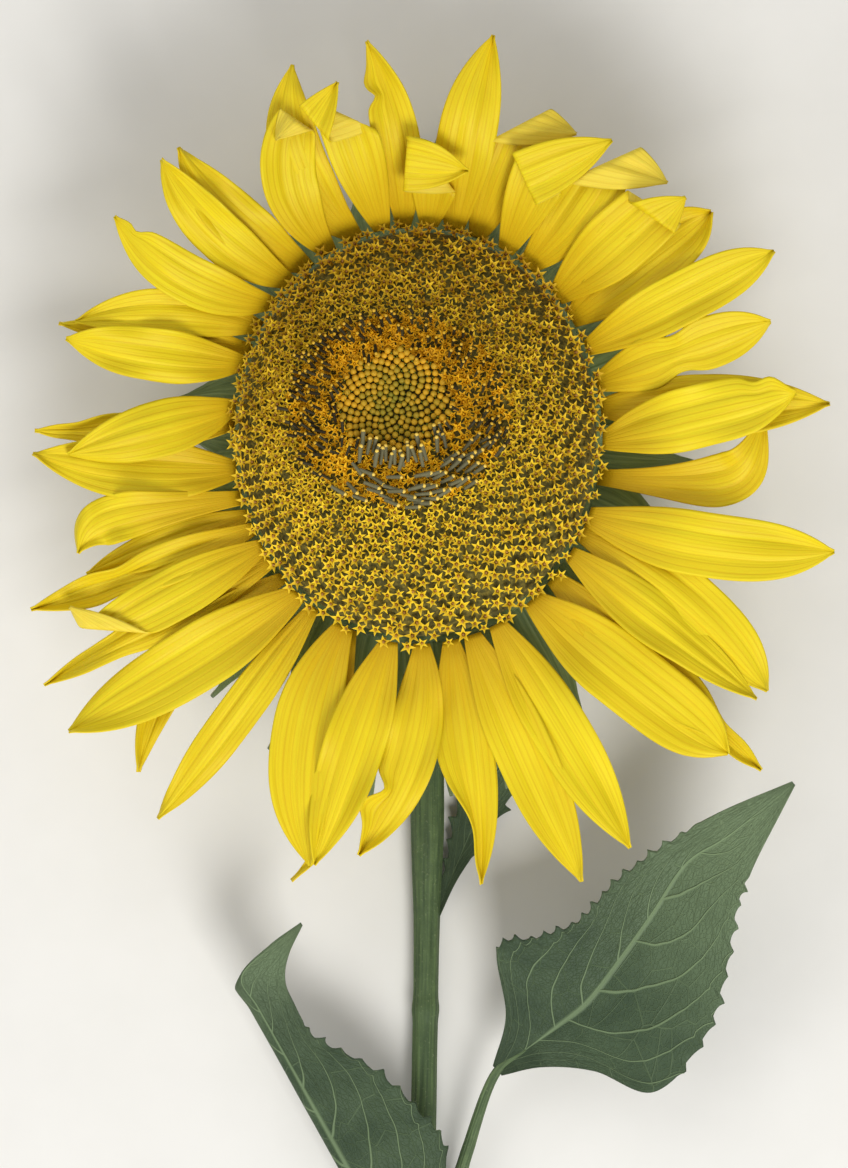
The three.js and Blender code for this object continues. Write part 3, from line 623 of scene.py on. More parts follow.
# ---- Disc: closed buds ----------------------------------------------------------------------------
# The youngest florets in the middle are still shut: blunt golden-brown knobs packed in the
# spiral, each with the green tip of a chaffy scale beside it.
bud_gold = gold_finish("bud gold", (126, 120, 36), (220, 166, 38), 0.5)
scale_green = gold_finish("scale green", (84, 96, 28), (150, 158, 60), 0.6)
BUD_FINISHES = [bud_gold, scale_green]
BUD_RADIUS = 0.92
BUD_TALL = 1.35                                  # height as a share of the width
BUD_SHOULDER = 0.9                               # above this the bud is blunted
BUD_BLUNT = 0.55
BUD_SUNK = 0.9
BUD_JITTER = 0.15
bpy.ops.mesh.primitive_uv_sphere_add(segments=8, ring_count=6, radius=BUD_RADIUS / 1000)
bud = bpy.context.object
bpy.ops.transform.resize(value=(1, 1, BUD_TALL))
bpy.ops.object.transform_apply(location=True, rotation=True, scale=True)
for point in bud.data.vertices:
    past = point.co.z - BUD_SHOULDER / 1000
    if past > 0:
        point.co.z -= past * (1 - BUD_BLUNT)
bpy.ops.mesh.primitive_cone_add(
    vertices=3, radius1=0.0003, radius2=0, depth=0.0018, location=(0.00105, 0, 0.0006)
)
fuse(bud, bpy.context.object, BUD_FINISHES)

places = []
for share, angle in florets:
    if share > BUD_EDGE + 0.03:
        continue
    up, out = disc_frame(max(share, 0.03), angle, 0)[1:]
    here = disc_spot(share, angle, dome(share) - BUD_SUNK)
    here += Vector([chance.uniform(-BUD_JITTER, BUD_JITTER) for _ in range(3)]) / 1000
    wobble = Vector([chance.uniform(-0.15, 0.15) for _ in range(3)])
    size = run([(0, 0.82), (BUD_EDGE, 1.04)], share) * chance.uniform(0.92, 1.08)
    tone_and_painted_light = clamp(run([(0, 0.15), (0.1, 0.4), (BUD_EDGE, 0.8)], share) + chance.uniform(-0.25, 0.25))
    places.append((here, up + wobble, out, size, chance.uniform(0, 6.28), tone_and_painted_light))
closed_buds = scattered("closed_buds", bud, places, BUD_FINISHES)
bpy.data.objects.remove(bud)
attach(closed_buds, "root")
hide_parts("disc_buds")


# ---- Ray petals -----------------------------------------------------------------------------------
# Forty-five long yellow petals, each one soft thin blade rooted under the disc's rim, with
# fine veins and two shallow grooves along it. Some are folded over, rolled or bent.
# root:  angle round the rim.            tip: (angle, reach) laid out flat.
# bow:   middle of the petal off the straight line, to its left.
# elbow: (angle, reach) the petal bends round instead.
# wide:  widest width.   end: how blunt it ends (2 pointed ... 5 round).
# layer: 0 is on top.    pinch: (share of the length, share narrowed).
# fold:  creases (angle, reach, direction of the crease); what is beyond is turned over.
# edge:  (side, share of the length, mm outwards, span) where an edge swells or is nicked;
#        side is 1 at the left, seen from the root, and -1 at the right.
# twist: (share where it starts, span, degrees) turned about its own length.
# curl:  (side, share where it starts, mm) an edge turned up, or down where it is minus.
# keel:  mm that the edges rise over the middle line, or fall where it is minus.
FACE_TOP = 56
LEFT_DROP = 7
FLATTEN = 34
LAYER = 1.7
ROLL = 1.2
PETAL_THICK = 0.36
PETAL_COLUMNS = 20
RAYS = [
    dict(root=358, tip=(6, 96.5), wide=16, end=4, layer=0, edge=[(1, 0.8, -1.3, 0.05), (1, 0.9, 1.3, 0.05)],
         twist=(0.7, 0.2, -20)),
    dict(root=8, tip=(4, 105), wide=16, end=2.4, layer=2),
    dict(root=16, tip=(17.5, 94), wide=15, end=4, layer=1, pinch=(0.45, 0.35),
         twist=(0.42, 0.1, 24)),
    dict(root=27, tip=(27, 101.5), wide=13.5, end=4, layer=0),
    dict(root=37, tip=(37, 93.5), wide=16, end=4.5, layer=2, curl=(-1, 0.75, 3)),
    dict(root=45, tip=(43, 98), wide=17, end=3, layer=1, fold=[(44, 81.5, 148), (42.4, 78, 146)]),
    dict(root=57, tip=(57.6, 100.5), wide=16, end=3, layer=2, bow=-3.5, fold=[(54, 84, 24)]),
    dict(root=64.5, tip=(65, 104.5), wide=14.5, end=2.8, layer=1, fold=[(64, 71.5, 136), (67.2, 66.7, 115)]),
    dict(root=73.5, tip=(71, 98), wide=14, end=3, layer=3.3, fold=[(71.6, 81, 27)]),
    dict(root=80, tip=(79.3, 103), wide=15, end=2.4, layer=2, bow=1.5, keel=-0.8, twist=(0.6, 0.3, 14)),
    dict(root=87, tip=(85, 94), wide=14.5, end=2.8, layer=1, fold=[(86, 66, 130), (94, 67.5, 85)]),
    dict(root=94, tip=(97.5, 100.5), wide=12, end=2.2, layer=2, bow=-2.5,
         edge=[(1, 0.7, -2.2, 0.04), (1, 0.8, 0.8, 0.05)], twist=(0.6, 0.3, -24), keel=0.8),
    dict(root=100, tip=(104.5, 104.5), wide=14, end=2.8, layer=0, fold=[(103, 81, 156), (109.5, 80, 130)]),
    dict(root=107.5, tip=(108.8, 99), wide=14, end=2.6, layer=2, bow=7),
    dict(root=116, tip=(107.3, 91.5), wide=14, end=3.6, layer=1, bow=8, fold=[(111.2, 83, 146)]),
    dict(root=123.5, tip=(130, 95), wide=13.5, end=2.4, layer=2, bow=3.5, twist=(0.4, 0.4, 16)),
    dict(root=130, tip=(133.2, 95.5), wide=12.5, end=2.8, layer=1, bow=4, curl=(-1, 0.2, 2.4)),
    dict(root=138, tip=(144.5, 95), wide=12.5, end=3, layer=0, bow=5, edge=[(-1, 0.86, -1.8, 0.04)],
         twist=(0.6, 0.3, -26)),
    dict(root=146, tip=(162, 92), wide=12, end=2.6, layer=1, bow=-3),
    dict(root=158, tip=(165, 93), wide=13.5, end=3, layer=0, bow=1),
    dict(root=153, tip=(163, 96), wide=9, end=2.2, layer=2),
    dict(root=172, tip=(183.5, 89.5), wide=14.5, end=2.2, layer=0, keel=-1.2),
    dict(root=177, tip=(179.6, 98), wide=10, end=2.2, layer=2, bow=1, pinch=(0.8, 0.3)),
    dict(root=191, tip=(183, 98.5), wide=16, end=2.2, layer=1, bow=2, keel=1),
    dict(root=200, tip=(199.5, 92), wide=12.5, end=3, layer=0, elbow=(194.5, 86),
         curl=(-1, 0.6, -3)),
    dict(root=205.5, tip=(203, 92), wide=10, end=2.4, layer=2),
    dict(root=210, tip=(204.5, 108.5), wide=11, end=2.4, layer=1, pinch=(0.6, 0.35), bow=1, keel=2),
    dict(root=216, tip=(212, 105.5), wide=13.5, end=2.8, layer=0, fold=[(212, 92.5, 176)]),
    dict(root=221, tip=(214, 115), wide=11, end=2.6, layer=1, pinch=(0.68, 0.3), twist=(0.6, 0.2, 40)),
    dict(root=227, tip=(230.5, 112), wide=10, end=2.8, layer=2, bow=-8),
    dict(root=233, tip=(220.5, 117), wide=17, end=3, layer=0, bow=1, keel=0.8, twist=(0.3, 0.5, 14)),
    dict(root=239, tip=(236, 118.5), wide=10.5, end=3.5, layer=1, bow=0.5, keel=-1.5, twist=(0.55, 0.3, -24)),
    dict(root=249, tip=(256, 113.5), wide=17, end=3, layer=1, bow=-6),
    dict(root=252, tip=(254.2, 118.5), wide=5, end=2.4, layer=2, elbow=(258.5, 106)),
    dict(root=262, tip=(256.5, 113), wide=15.5, end=2.6, layer=0),
    dict(root=271, tip=(262, 108.5), wide=14, end=2.6, layer=1, bow=5,
         edge=[(-1, 0.68, -3.4, 0.05), (-1, 0.8, 2, 0.05)], curl=(-1, 0.55, 2.5)),
    dict(root=279, tip=(278, 116), wide=14, end=2.6, layer=2, bow=0.5,
         edge=[(-1, 0.75, -4.6, 0.16), (-1, 0.35, 1.2, 0.2)], curl=(-1, 0.5, 3)),
    dict(root=285, tip=(290, 121.5), wide=15, end=2.8, layer=1, twist=(0.6, 0.3, 16)),
    dict(root=292.5, tip=(297, 118.5), wide=15, end=2.8, layer=0, twist=(0.5, 0.4, -14), keel=-0.6),
    dict(root=304.5, tip=(314, 113.5), wide=18.5, end=5, layer=1, bow=-0.5),
    dict(root=313, tip=(315.5, 122.5), wide=14, end=2.6, layer=2, pinch=(0.8, 0.45)),
    dict(root=321.5, tip=(321.8, 109.5), wide=13.5, end=2.6, layer=0, twist=(0.35, 0.3, -32)),
    dict(root=328.5, tip=(323.5, 110.5), wide=15, end=4.5, layer=1, bow=4.5, keel=-1),
    dict(root=334, tip=(344, 110), wide=16.5, end=3.6, layer=0, bow=-3),
    dict(root=346.5, tip=(4, 88.5), wide=13.5, end=2.6, layer=3, elbow=(350, 85.5)),
]


def petal_finish(name, bright, warm, vein, roughness=0.5):
    """Silky yellow with fine veins lengthwise, warmer towards the root and darker there as painted shade;
    deeper petals are painted darker all over as painted shade.
    """
    finish = Finish(name, roughness)
    pattern = finish.add("UVMap").outputs[0]
    tone_and_painted_light = finish.add("Attribute", {"attribute_name": "tone_and_painted_light"}).outputs["Fac"]
    apart = finish.add("SeparateXYZ", None, Vector=pattern)
    u, s = apart.outputs[0], apart.outputs[1]
    shifted = finish.add("CombineXYZ", None, X=u, Y=s, Z=finish.sum("MULTIPLY", tone_and_painted_light, 40.0)).outputs[0]
    broad = finish.grain(finish.stretched(shifted, 5, 1.1), 1.0, 3)
    streaks = finish.grain(finish.stretched(shifted, 34, 1.3), 1.0, 4)
    fine = finish.grain(finish.stretched(shifted, 110, 5), 1.0, 3)
    drift = finish.sum("MULTIPLY", finish.grain(finish.stretched(shifted, 3, 2.5), 1.0, 2), 3.0)
    lines = finish.sum("SINE", finish.sum("ADD", finish.sum("MULTIPLY", u, 2 * math.pi * 9), drift))
    lines = finish.sum("POWER", finish.sum("ADD", finish.sum("MULTIPLY", lines, 0.5), 0.5), 8.0)
    root_warmth_and_painted_shade = finish.between(s, 0.4, 0.02)
    near_edge = finish.between(finish.sum("ABSOLUTE", finish.sum("SUBTRACT", u, 0.5)), 0.44, 0.5, 0, 0.35)
    tone = finish.mix(finish.between(broad, 0.4, 0.7, 0, 0.5), colour(*bright), colour(*vein))
    tone = finish.mix(finish.between(streaks, 0.45, 0.7, 0, 0.6), tone, colour(*vein))
    tone = finish.mix(finish.sum("MULTIPLY", lines, 0.3), tone, colour(*warm))
    tone = finish.mix(near_edge, tone, colour(*bright))
    # Warmer towards the root, as the real petals are, and darker there as painted shade.
    tone = finish.mix(finish.sum("MULTIPLY", root_warmth_and_painted_shade, 0.7), tone, colour(*warm))
    # Painted shade: a petal with a low value is darkened towards the warm colour all over; the deeper petals
    # have the lowest.
    tone = finish.mix(finish.between(tone_and_painted_light, 0.0, 1.0, 0.3, 0.0), tone, colour(*warm))
    finish.paint(tone)
    height = finish.sum("ADD", finish.sum("MULTIPLY", streaks, 0.8), finish.sum("MULTIPLY", fine, 0.4))
    height = finish.sum("SUBTRACT", height, finish.sum("MULTIPLY", lines, 0.4))
    finish.relief(height, 0.14, 0.7)
    finish.shader.inputs["Subsurface Weight"].default_value = 0.15
    finish.shader.inputs["Subsurface Radius"].default_value = (0.6, 0.4, 0.1)
    finish.shader.inputs["Subsurface Scale"].default_value = 0.001
    finish.shader.inputs["Specular IOR Level"].default_value = 0.18
    return finish.material


petal_face = petal_finish("petal yellow", (234, 215, 32), (200, 150, 14), (214, 184, 20))
petal_back = petal_finish("petal back", (240, 218, 76), (206, 168, 40), (222, 196, 58))


def petal_level(x, y):
    """Height of the topmost petals over a place outside the rim."""
    reach = math.hypot(x, y)
    angle = math.atan2(y, x)
    rim = rim_radius(angle)
    start = rim_plane(x * rim / reach, y * rim / reach)
    top = FACE_TOP - LEFT_DROP * max(0, -math.cos(angle)) ** 2
    t = clamp((reach - rim) / FLATTEN)
    return start + (top - start) * (1 - (1 - t) ** 2)


def polar(degrees, reach):
    angle = math.radians(degrees)
    return Vector((math.cos(angle) * reach, math.sin(angle) * reach))


def mirrored(point, crease):
    on, beyond = crease["on"], crease["beyond"]
    return point - beyond * (2 * (point - on).dot(beyond))


def petal_creases(ray, tip):
    """Each crease as a line, where it ends up and on the petal laid out flat."""
    done = []
    end = tip.copy()
    for degrees, reach, direction in ray.get("fold", []):
        on = polar(degrees, reach)
        along = polar(direction, 1)
        beyond = Vector((-along.y, along.x))
        if (end - on).dot(beyond) < 0:
            beyond.negate()
        flat_on = on.copy()
        flat_aim = on + beyond
        for crease in reversed(done):
            flat_on = mirrored(flat_on, crease)
            flat_aim = mirrored(flat_aim, crease)
        done.append(dict(on=on, beyond=beyond, flat_on=flat_on, flat_beyond=flat_aim - flat_on))
        end = mirrored(end, done[-1])
    return done


def folded(point, creases, drop):
    """Flat place on the petal to a place in space, and how far its face still looks up."""
    if not creases:
        return Vector((point.x, point.y, petal_level(point.x, point.y) - drop)), 1.0
    crease = creases[-1]
    past = (point - crease["flat_on"]).dot(crease["flat_beyond"])
    if past <= 0:
        return folded(point, creases[:-1], drop)
    foot = point - crease["flat_beyond"] * past
    base, facing = folded(foot, creases[:-1], drop)
    turn = min(past / ROLL, math.pi)
    out = ROLL * math.sin(turn) - max(0, past - math.pi * ROLL)
    up = ROLL * (1 - math.cos(turn))
    return base + Vector((crease["beyond"].x * out, crease["beyond"].y * out, up)), facing * math.cos(turn)


def petal_place(ray, number):
    angle = math.radians(ray["root"])
    root = polar(ray["root"], rim_radius(angle) - 0.25)
    tip = polar(*ray["tip"])
    chord = tip - root
    length = chord.length
    left = Vector((-chord.y, chord.x)).normalized()
    halfway = (root + tip) / 2 + left * (2 * ray.get("bow", 0))
    elbow = polar(*ray["elbow"]) if "elbow" in ray else halfway
    pull = 2.5 if "elbow" in ray else 1
    drop = 1 + LAYER * ray["layer"]
    creases = petal_creases(ray, tip)
    square = Vector((root.x / RIM_X ** 2, root.y / RIM_Y ** 2)).normalized()
    chance = random.Random(number)
    grooves = [(chance.uniform(-0.45, -0.25), 0.6), (chance.uniform(0.25, 0.45), 0.6)]
    ripples = [(chance.uniform(2, 5), chance.uniform(0, 6.28), chance.uniform(0.4, 1.1)) for _ in (0, 1)]
    keel = ray.get("keel", chance.uniform(-0.7, 0.9))
    twist_from, twist_span, twist = ray.get("twist", (0.4, 0.6, chance.uniform(-12, 12)))
    curl_side, curl_from, curl = ray.get("curl", (chance.choice((-1, 1)), 0.5, chance.uniform(-0.6, 1.2)))

    def spine(s):
        w0, w1, w2 = (1 - s) ** 2, 2 * s * (1 - s) * pull, s * s
        return (root * w0 + elbow * w1 + tip * w2) / (w0 + w1 + w2)

    def half(s, v):
        swell = 0.3 + 0.7 * math.sin(math.pi / 2 * min(1, s / 0.42))
        close = 1 - clamp((s - 0.45) / 0.55) ** ray["end"]
        where, much = ray.get("pinch", (0, 0))
        nip = 1 - much * math.exp(-(((s - where) / 0.1) ** 2))
        width = ray["wide"] / 2 * swell * close * nip
        for side, at, out, span in ray.get("edge", []):
            if side * v > 0:
                width += out * math.exp(-(((s - at) / span) ** 2))
        return max(0.35, width)

    def flat(s, v):
        ahead = (spine(min(1, s + 0.01)) - spine(max(0, s - 0.01))).normalized()
        ahead = square.lerp(ahead, smooth(s / 0.15)).normalized()
        turn = math.radians(twist) * smooth((s - twist_from) / twist_span)
        return spine(s) + Vector((-ahead.y, ahead.x)) * (v * half(s, v) * math.cos(turn))

    def crossing(crease, v):
        low, high = 0.0, 1.0
        for _ in range(20):
            s = (low + high) / 2
            if (flat(s, v) - crease["flat_on"]).dot(crease["flat_beyond"]) > 0:
                high = s
            else:
                low = s
        return min(low, 0.965)

    def shares(v):
        stops = [0] + [crossing(crease, v) for crease in creases] + [1]
        made = [0.0]
        for k in range(1, len(stops)):
            start = stops[k - 1]
            rolled = min(math.pi * ROLL / length, (stops[k] - start) * 0.5)
            if k > 1:
                made += [start + rolled * i / 8 for i in range(1, 9)]
                start += rolled
            count = 44 if k == 1 else 14
            made += [start + (stops[k] - start) * i / count for i in range(1, count + 1)]
        return made

    lines = [shares(1 - 2 * column / PETAL_COLUMNS) for column in range(PETAL_COLUMNS + 1)]

    def where(column, row):
        v = 1 - 2 * column / PETAL_COLUMNS
        s = lines[column][row]
        place, facing = folded(flat(s, v), creases, drop)
        rise = 0.6 * (v * v - 0.4) + keel * (abs(v) - 0.5)
        for at, deep in grooves:
            rise -= deep * math.exp(-(((v - at) / 0.09) ** 2)) * (1 - smooth((s - 0.8) / 0.2))
        for often, phase, high in ripples:
            rise += high * v * abs(v) * math.sin(often * math.pi * s + phase)
        rise += 1.6 * noise.noise(Vector((2.6 * s, 0.9 * v, number * 5.7)))
        rise += curl * max(0, v * curl_side) ** 3 * smooth((s - curl_from) / 0.2)
        rise += v * half(s, v) * math.sin(math.radians(twist) * smooth((s - twist_from) / twist_span))
        place.z += rise * smooth(s * 4) * facing
        return spot(*place), (column / PETAL_COLUMNS, s)

    return where, len(lines[0]) - 1


for number, ray in enumerate(RAYS, 1):
    where, rows = petal_place(ray, number)
    petal = woven(f"petal_{number:02d}", PETAL_COLUMNS, rows, where)
    petal.data.materials.append(petal_face)
    petal.data.materials.append(petal_back)
    thicken(petal, PETAL_THICK)
    # Painted shade: petals lying deeper under the others get a lower value and are painted darker, on top of
    # a random tone per petal.
    bright = clamp(0.75 - 0.2 * ray["layer"] + 0.25 * noise.noise(Vector((number * 3.1, 0, 0))))
    petal.data.attributes.new("tone_and_painted_light", "FLOAT", "POINT").data.foreach_set(
        "value", [bright] * len(petal.data.vertices)
    )
    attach(petal, "root")
    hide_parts(f"ray_{number:02d}")
    put_away()


# ---- Stem and neck ----------------------------------------------------------------------------------
# A straight, faintly ribbed stem, cut square at the end, lies on the floor and swells into
# the thick neck, which bends up to the back of the head. Dull green with short bristles.
STEM_THICK = 6.8
NECK_THICK = 16
STEM_END = -255
NECK_START = -98
STEM_X = 0.4
NECK_X = 2.3
NECK_ROOT = 4.5                                  # radius where the stem becomes the neck
STEM_ROUND = 40
STEM_SHARE = 0.66                                # share of the rows along the straight stem
NODE_AT = -149.7                                 # the scar of a lost leaf


def limb(name, path, radius, sides, steps, rib=0.0, ribs=9, last_plane=None):
    """A tapering round limb along path(t), ribbed lengthwise, closed at both ends."""
    rings = [(0, 0.0), (0, 0.8), (0, 0.97)]
    rings += [(k / steps, 1.0) for k in range(steps + 1)]
    rings += [(1, 0.85), (1, 0.0)]

    def where(column, row):
        t, share = rings[row]
        here = path(t)
        ahead = (path(min(1, t + 0.01)) - path(max(0, t - 0.01))).normalized()
        right = ahead.cross(Vector((0, 0, 1)))
        if right.length < 0.05:
            right = Vector((1, 0, 0))
        right.normalize()
        up = right.cross(ahead)
        angle = 2 * math.pi * column / sides
        r = radius(t) * share + rib * (math.cos(ribs * angle) - 1) * share
        r += 0.12 * noise.noise(Vector((math.cos(angle), math.sin(angle), 14 * t))) * share
        place = here + right * (math.cos(angle) * r) + up * (math.sin(angle) * r)
        if last_plane and t == 1:
            place.z = last_plane(place.x, place.y)
        return spot(*place), (column / sides, t)

    return woven(name, sides, len(rings) - 1, where, closed=True)


def bezier(p0, p1, p2, p3):
    p0, p1, p2, p3 = (Vector(p) for p in (p0, p1, p2, p3))
    return lambda t: p0 * (1 - t) ** 3 + p1 * 3 * t * (1 - t) ** 2 + p2 * 3 * t * t * (1 - t) + p3 * t ** 3


def stem_radius(t):
    if t > STEM_SHARE:
        bend = (t - STEM_SHARE) / (1 - STEM_SHARE)
        return NECK_ROOT + (NECK_THICK / 2 - NECK_ROOT) * smooth((bend - 0.2) / 0.8)
    level = STEM_END + (NECK_START - STEM_END) * t / STEM_SHARE
    swell = smooth((level + 135) / (NECK_START + 135))
    knot = 0.35 * math.exp(-(((level - NODE_AT) / 2) ** 2))
    return STEM_THICK / 2 + (NECK_ROOT - STEM_THICK / 2) * swell + knot


def neck_foot(x, y):
    return rim_plane(x, y) - DISC_DEPTH - BACK_DEPTH - 0.3


neck_bend = bezier(
    (NECK_X, NECK_START, NECK_ROOT),
    (NECK_X, -50, NECK_ROOT),
    (NECK_TOP[0], NECK_TOP[1] - 5, 2),
    (NECK_TOP[0], NECK_TOP[1], neck_foot(*NECK_TOP)),
)


def stem_path(t):
    if t > STEM_SHARE:
        return neck_bend((t - STEM_SHARE) / (1 - STEM_SHARE))
    along = t / STEM_SHARE
    x = STEM_X + (NECK_X - STEM_X) * smooth(along)
    return Vector((x, STEM_END + (NECK_START - STEM_END) * along, stem_radius(t)))


def stem_finish(name, deep, pale, length_scale):
    finish = Finish(name, 0.6)
    pattern = finish.add("UVMap").outputs[0]
    place = finish.add("TexCoord").outputs["Object"]
    stripes = finish.grain(finish.stretched(pattern, 26, length_scale), 1.0, 3)
    mottle = finish.grain(place, 260, 3)
    specks = finish.grain(place, 1500, 2)
    tone = finish.mix(finish.between(stripes, 0.35, 0.65), colour(*deep), colour(*pale))
    tone = finish.mix(finish.between(mottle, 0.45, 0.7, 0, 0.5), tone, colour(*deep))
    tone = finish.mix(finish.between(specks, 0.62, 0.75, 0, 0.4), tone, colour(140, 150, 112))
    finish.paint(tone)
    finish.relief(finish.sum("ADD", stripes, finish.sum("MULTIPLY", specks, 0.5)), 0.3)
    finish.shader.inputs["Specular IOR Level"].default_value = 0.3
    return finish.material


stem = limb("stem_green", stem_path, stem_radius, STEM_ROUND, 150, rib=0.1, last_plane=neck_foot)
stem.data.materials.append(stem_finish("stem green", (58, 76, 46), (88, 108, 66), 9))
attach(stem, "root")
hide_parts("stem", "neck")
put_away()


# ---- Leaf stalks --------------------------------------------------------------------------------------
# Each leaf hangs on a long stalk that leaves the stem low down and narrows until it runs
# on under the blade as its midrib.
def through(stops):
    """Smooth path through points set out evenly from t = 0 to 1."""
    stops = [Vector(stop) for stop in stops]
    stops = [stops[0] * 2 - stops[1]] + stops + [stops[-1] * 2 - stops[-2]]

    def path(t):
        where = clamp(t) * (len(stops) - 3)
        k = min(int(where), len(stops) - 4)
        f = where - k
        p0, p1, p2, p3 = stops[k:k + 4]
        return 0.5 * (2 * p1 + (p2 - p0) * f + (2 * p0 - 5 * p1 + 4 * p2 - p3) * f ** 2
                      + (3 * p1 - p0 - 3 * p2 + p3) * f ** 3)

    return path


STALKS = [
    # (name, path, radius at the stem, radius where it ends under the blade)
    (
        "stalk_right",
        [(3.4, -217, 4), (8, -203, 6.5), (12.5, -187, 10), (19.6, -166.7, 13.3), (28, -159.3, 15.9)],
        2.4,
        1.1,
    ),
    (
        "stalk_left",
        [(0.7, -243, 5.5), (0.8, -236, 9.5), (0.2, -228, 12.5), (-1.6, -220.6, 14.2), (-5, -214, 14.6)],
        2,
        0.9,
    ),
]
stalk_green = stem_finish("stalk green", (62, 80, 50), (100, 120, 78), 5)
for name, stops, thick, thin in STALKS:
    taper = lambda t: thick + (thin - thick) * smooth(t)
    stalk = limb(name + "_green", through(stops), taper, 24, 40, rib=0.08, ribs=5)
    stalk.data.materials.append(stalk_green)
    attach(stalk, "root")
    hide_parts(name)
    put_away()


# ---- Leaves ---------------------------------------------------------------------------------------------
# Rough green leaves with toothed edges, a strong midrib and arching side veins with a net
# between them. Each is ruled from a line along its middle, its midrib or the crease it is
# folded at, to its edges laid out flat; past 90 degrees a side is folded under.
BEND = 2
LEAF_THICK = 0.5
LEAF_ROWS = 240
LEAF_COLUMNS = 56
SIDE_VEINS = 8.0
LEAVES = [
    dict(
        name="leaf_right",
        middle=[
            (20.6, -165, 14), (29.5, -158.3, 17.5), (36.5, -153, 20), (44, -146.3, 23), (53, -134, 27),
            (60.5, -123, 31), (69, -110, 36), (80, -102.5, 42), (95.6, -89.3, 50),
        ],
        left=[
            (19.4, -163.8), (22.5, -150), (20, -131.6), (30, -129), (41, -124.8),
            (50, -115), (62, -105.8), (77, -96.8), (95.2, -88.8),
        ],
        right=[
            (21.8, -166.4), (32.5, -164), (46, -165), (61, -170), (73.5, -157),
            (79, -141), (82, -123), (86, -110.5), (96, -89.8),
        ],
        slope_left=[14, 14, 12, 10],
        slope_right=[-8, -4, 4, 8, 10],
        teeth=[(0.22, 0.84, 4.2), (0.42, 0.86, 5.6)],
    ),
    dict(
        name="leaf_left",
        middle=[
            (-2, -220, 15), (-11, -203.5, 17), (-20, -187, 19.5), (-27.8, -172.8, 21), (-35.6, -158.5, 23),
            (-41.5, -147.8, 25), (-45.7, -140, 27.5), (-38, -132, 31), (-30, -126, 33),
        ],
        left=[
            (-3.3, -220.7), (-26, -208), (-37, -196), (-43.5, -181.5), (-47, -165),
            (-49.5, -152.5), (-46.3, -140), (-38.4, -131.6), (-30.3, -125.6),
        ],
        right=[
            (-0.7, -219.3), (7.5, -188), (0.5, -175), (-12, -163.5), (-26.5, -155.5),
            (-32.5, -146), (-34.3, -140.5), (-33.3, -134), (-29.8, -126.4),
        ],
        slope_left=[-60, -165, -165, -165, -165, -165, -165, 0, 0],
        slope_right=[2, 6],
        teeth=[(0.1, 0.7, 5), (0.1, 0.56, 4.6)],
    ),
    dict(
        name="leaf_small",
        middle=[
            (4, -127, 4.2), (8.4, -116, 3.9), (13, -105, 3.5), (18.5, -92, 3), (24, -78, 2.4), (29, -64, 1.8),
        ],
        left=[(3.2, -126.7), (6.3, -114.8), (8.5, -103), (12.3, -89), (19, -75.5), (28.5, -63.8)],
        right=[(4.8, -127.3), (10.2, -116), (17.2, -105.5), (25, -93.5), (29.8, -80), (29.5, -64.2)],
        slope_left=[6, 4],
        slope_right=[4, 4],
        teeth=[(0.2, 0.8, 5), (0.3, 0.7, 6)],
    ),
]


def evenly(values, t):
    return run([(i / (len(values) - 1), value) for i, value in enumerate(values)], t)


def leaf_finish(name, deep, pale, vein):
    """Rough green with arching side veins and a net of finer ones, in colour and relief, painted lighter
    towards the tip as painted light.
    """
    finish = Finish(name, 0.62)
    pattern = finish.add("UVMap").outputs[0]
    place = finish.add("TexCoord").outputs["Object"]
    apart = finish.add("SeparateXYZ", None, Vector=pattern)
    from_rib = finish.sum("ABSOLUTE", finish.sum("SUBTRACT", apart.outputs[0], 0.5))
    at_left = finish.sum("LESS_THAN", apart.outputs[0], 0.5)
    along = apart.outputs[1]
    wander = finish.sum("MULTIPLY", finish.grain(place, 70, 2), 0.05)
    arch = finish.sum("ADD", finish.sum("MULTIPLY", from_rib, 0.3), finish.sum("POWER", from_rib, 2.0))
    arched = finish.sum("SUBTRACT", finish.sum("ADD", along, wander), arch)
    offset = finish.sum("MULTIPLY", at_left, 0.45)
    steps = finish.sum("ADD", finish.sum("MULTIPLY", arched, SIDE_VEINS), offset)
    side = finish.sum("ABSOLUTE", finish.sum("SUBTRACT", finish.sum("FRACT", steps), 0.5))
    side_vein = finish.between(side, 0.05, 0.02)
    rib = finish.between(from_rib, 0.022, 0.008)
    lines = []
    for scale, wide, strong in [(1.0, 0.03, 0.55), (2.7, 0.05, 0.4), (6.5, 0.09, 0.3)]:
        net = finish.add("TexVoronoi", {"feature": "DISTANCE_TO_EDGE", "voronoi_dimensions": "2D"},
                         Vector=finish.stretched(pattern, 8, 13), Scale=scale)
        lines.append(finish.between(net.outputs["Distance"], wide, 0.0, 0, strong))
    veins = finish.sum("MAXIMUM", side_vein, rib)
    for line in lines:
        veins = finish.sum("MAXIMUM", veins, line)
    cloud = finish.between(finish.grain(place, 90, 4), 0.35, 0.7)
    tip_painted_light = finish.between(along, 0.45, 1.0)
    tone = finish.mix(cloud, colour(*deep), colour(*[(3 * a + b) // 4 for a, b in zip(deep, pale)]))
    # Painted light: the blade is painted lighter towards its tip and left darker towards the stalk as painted
    # shade.
    tone = finish.mix(finish.sum("MULTIPLY", tip_painted_light, 0.85), tone, colour(*pale))
    tone = finish.mix(finish.sum("MULTIPLY", veins, 0.55), tone, colour(*vein))
    finish.paint(tone)
    finish.relief(finish.sum("ADD", veins, finish.sum("MULTIPLY", finish.grain(place, 1600, 2), 0.3)), 0.35)
    finish.shader.inputs["Specular IOR Level"].default_value = 0.3
    return finish.material


# The pale colour is both the light end of the mottle and the painted light at the leaf tips.
leaf_face = leaf_finish("leaf green", (48, 66, 44), (124, 144, 106), (124, 144, 104))
leaf_under = leaf_finish("leaf underside", (60, 78, 52), (100, 120, 86), (122, 140, 102))


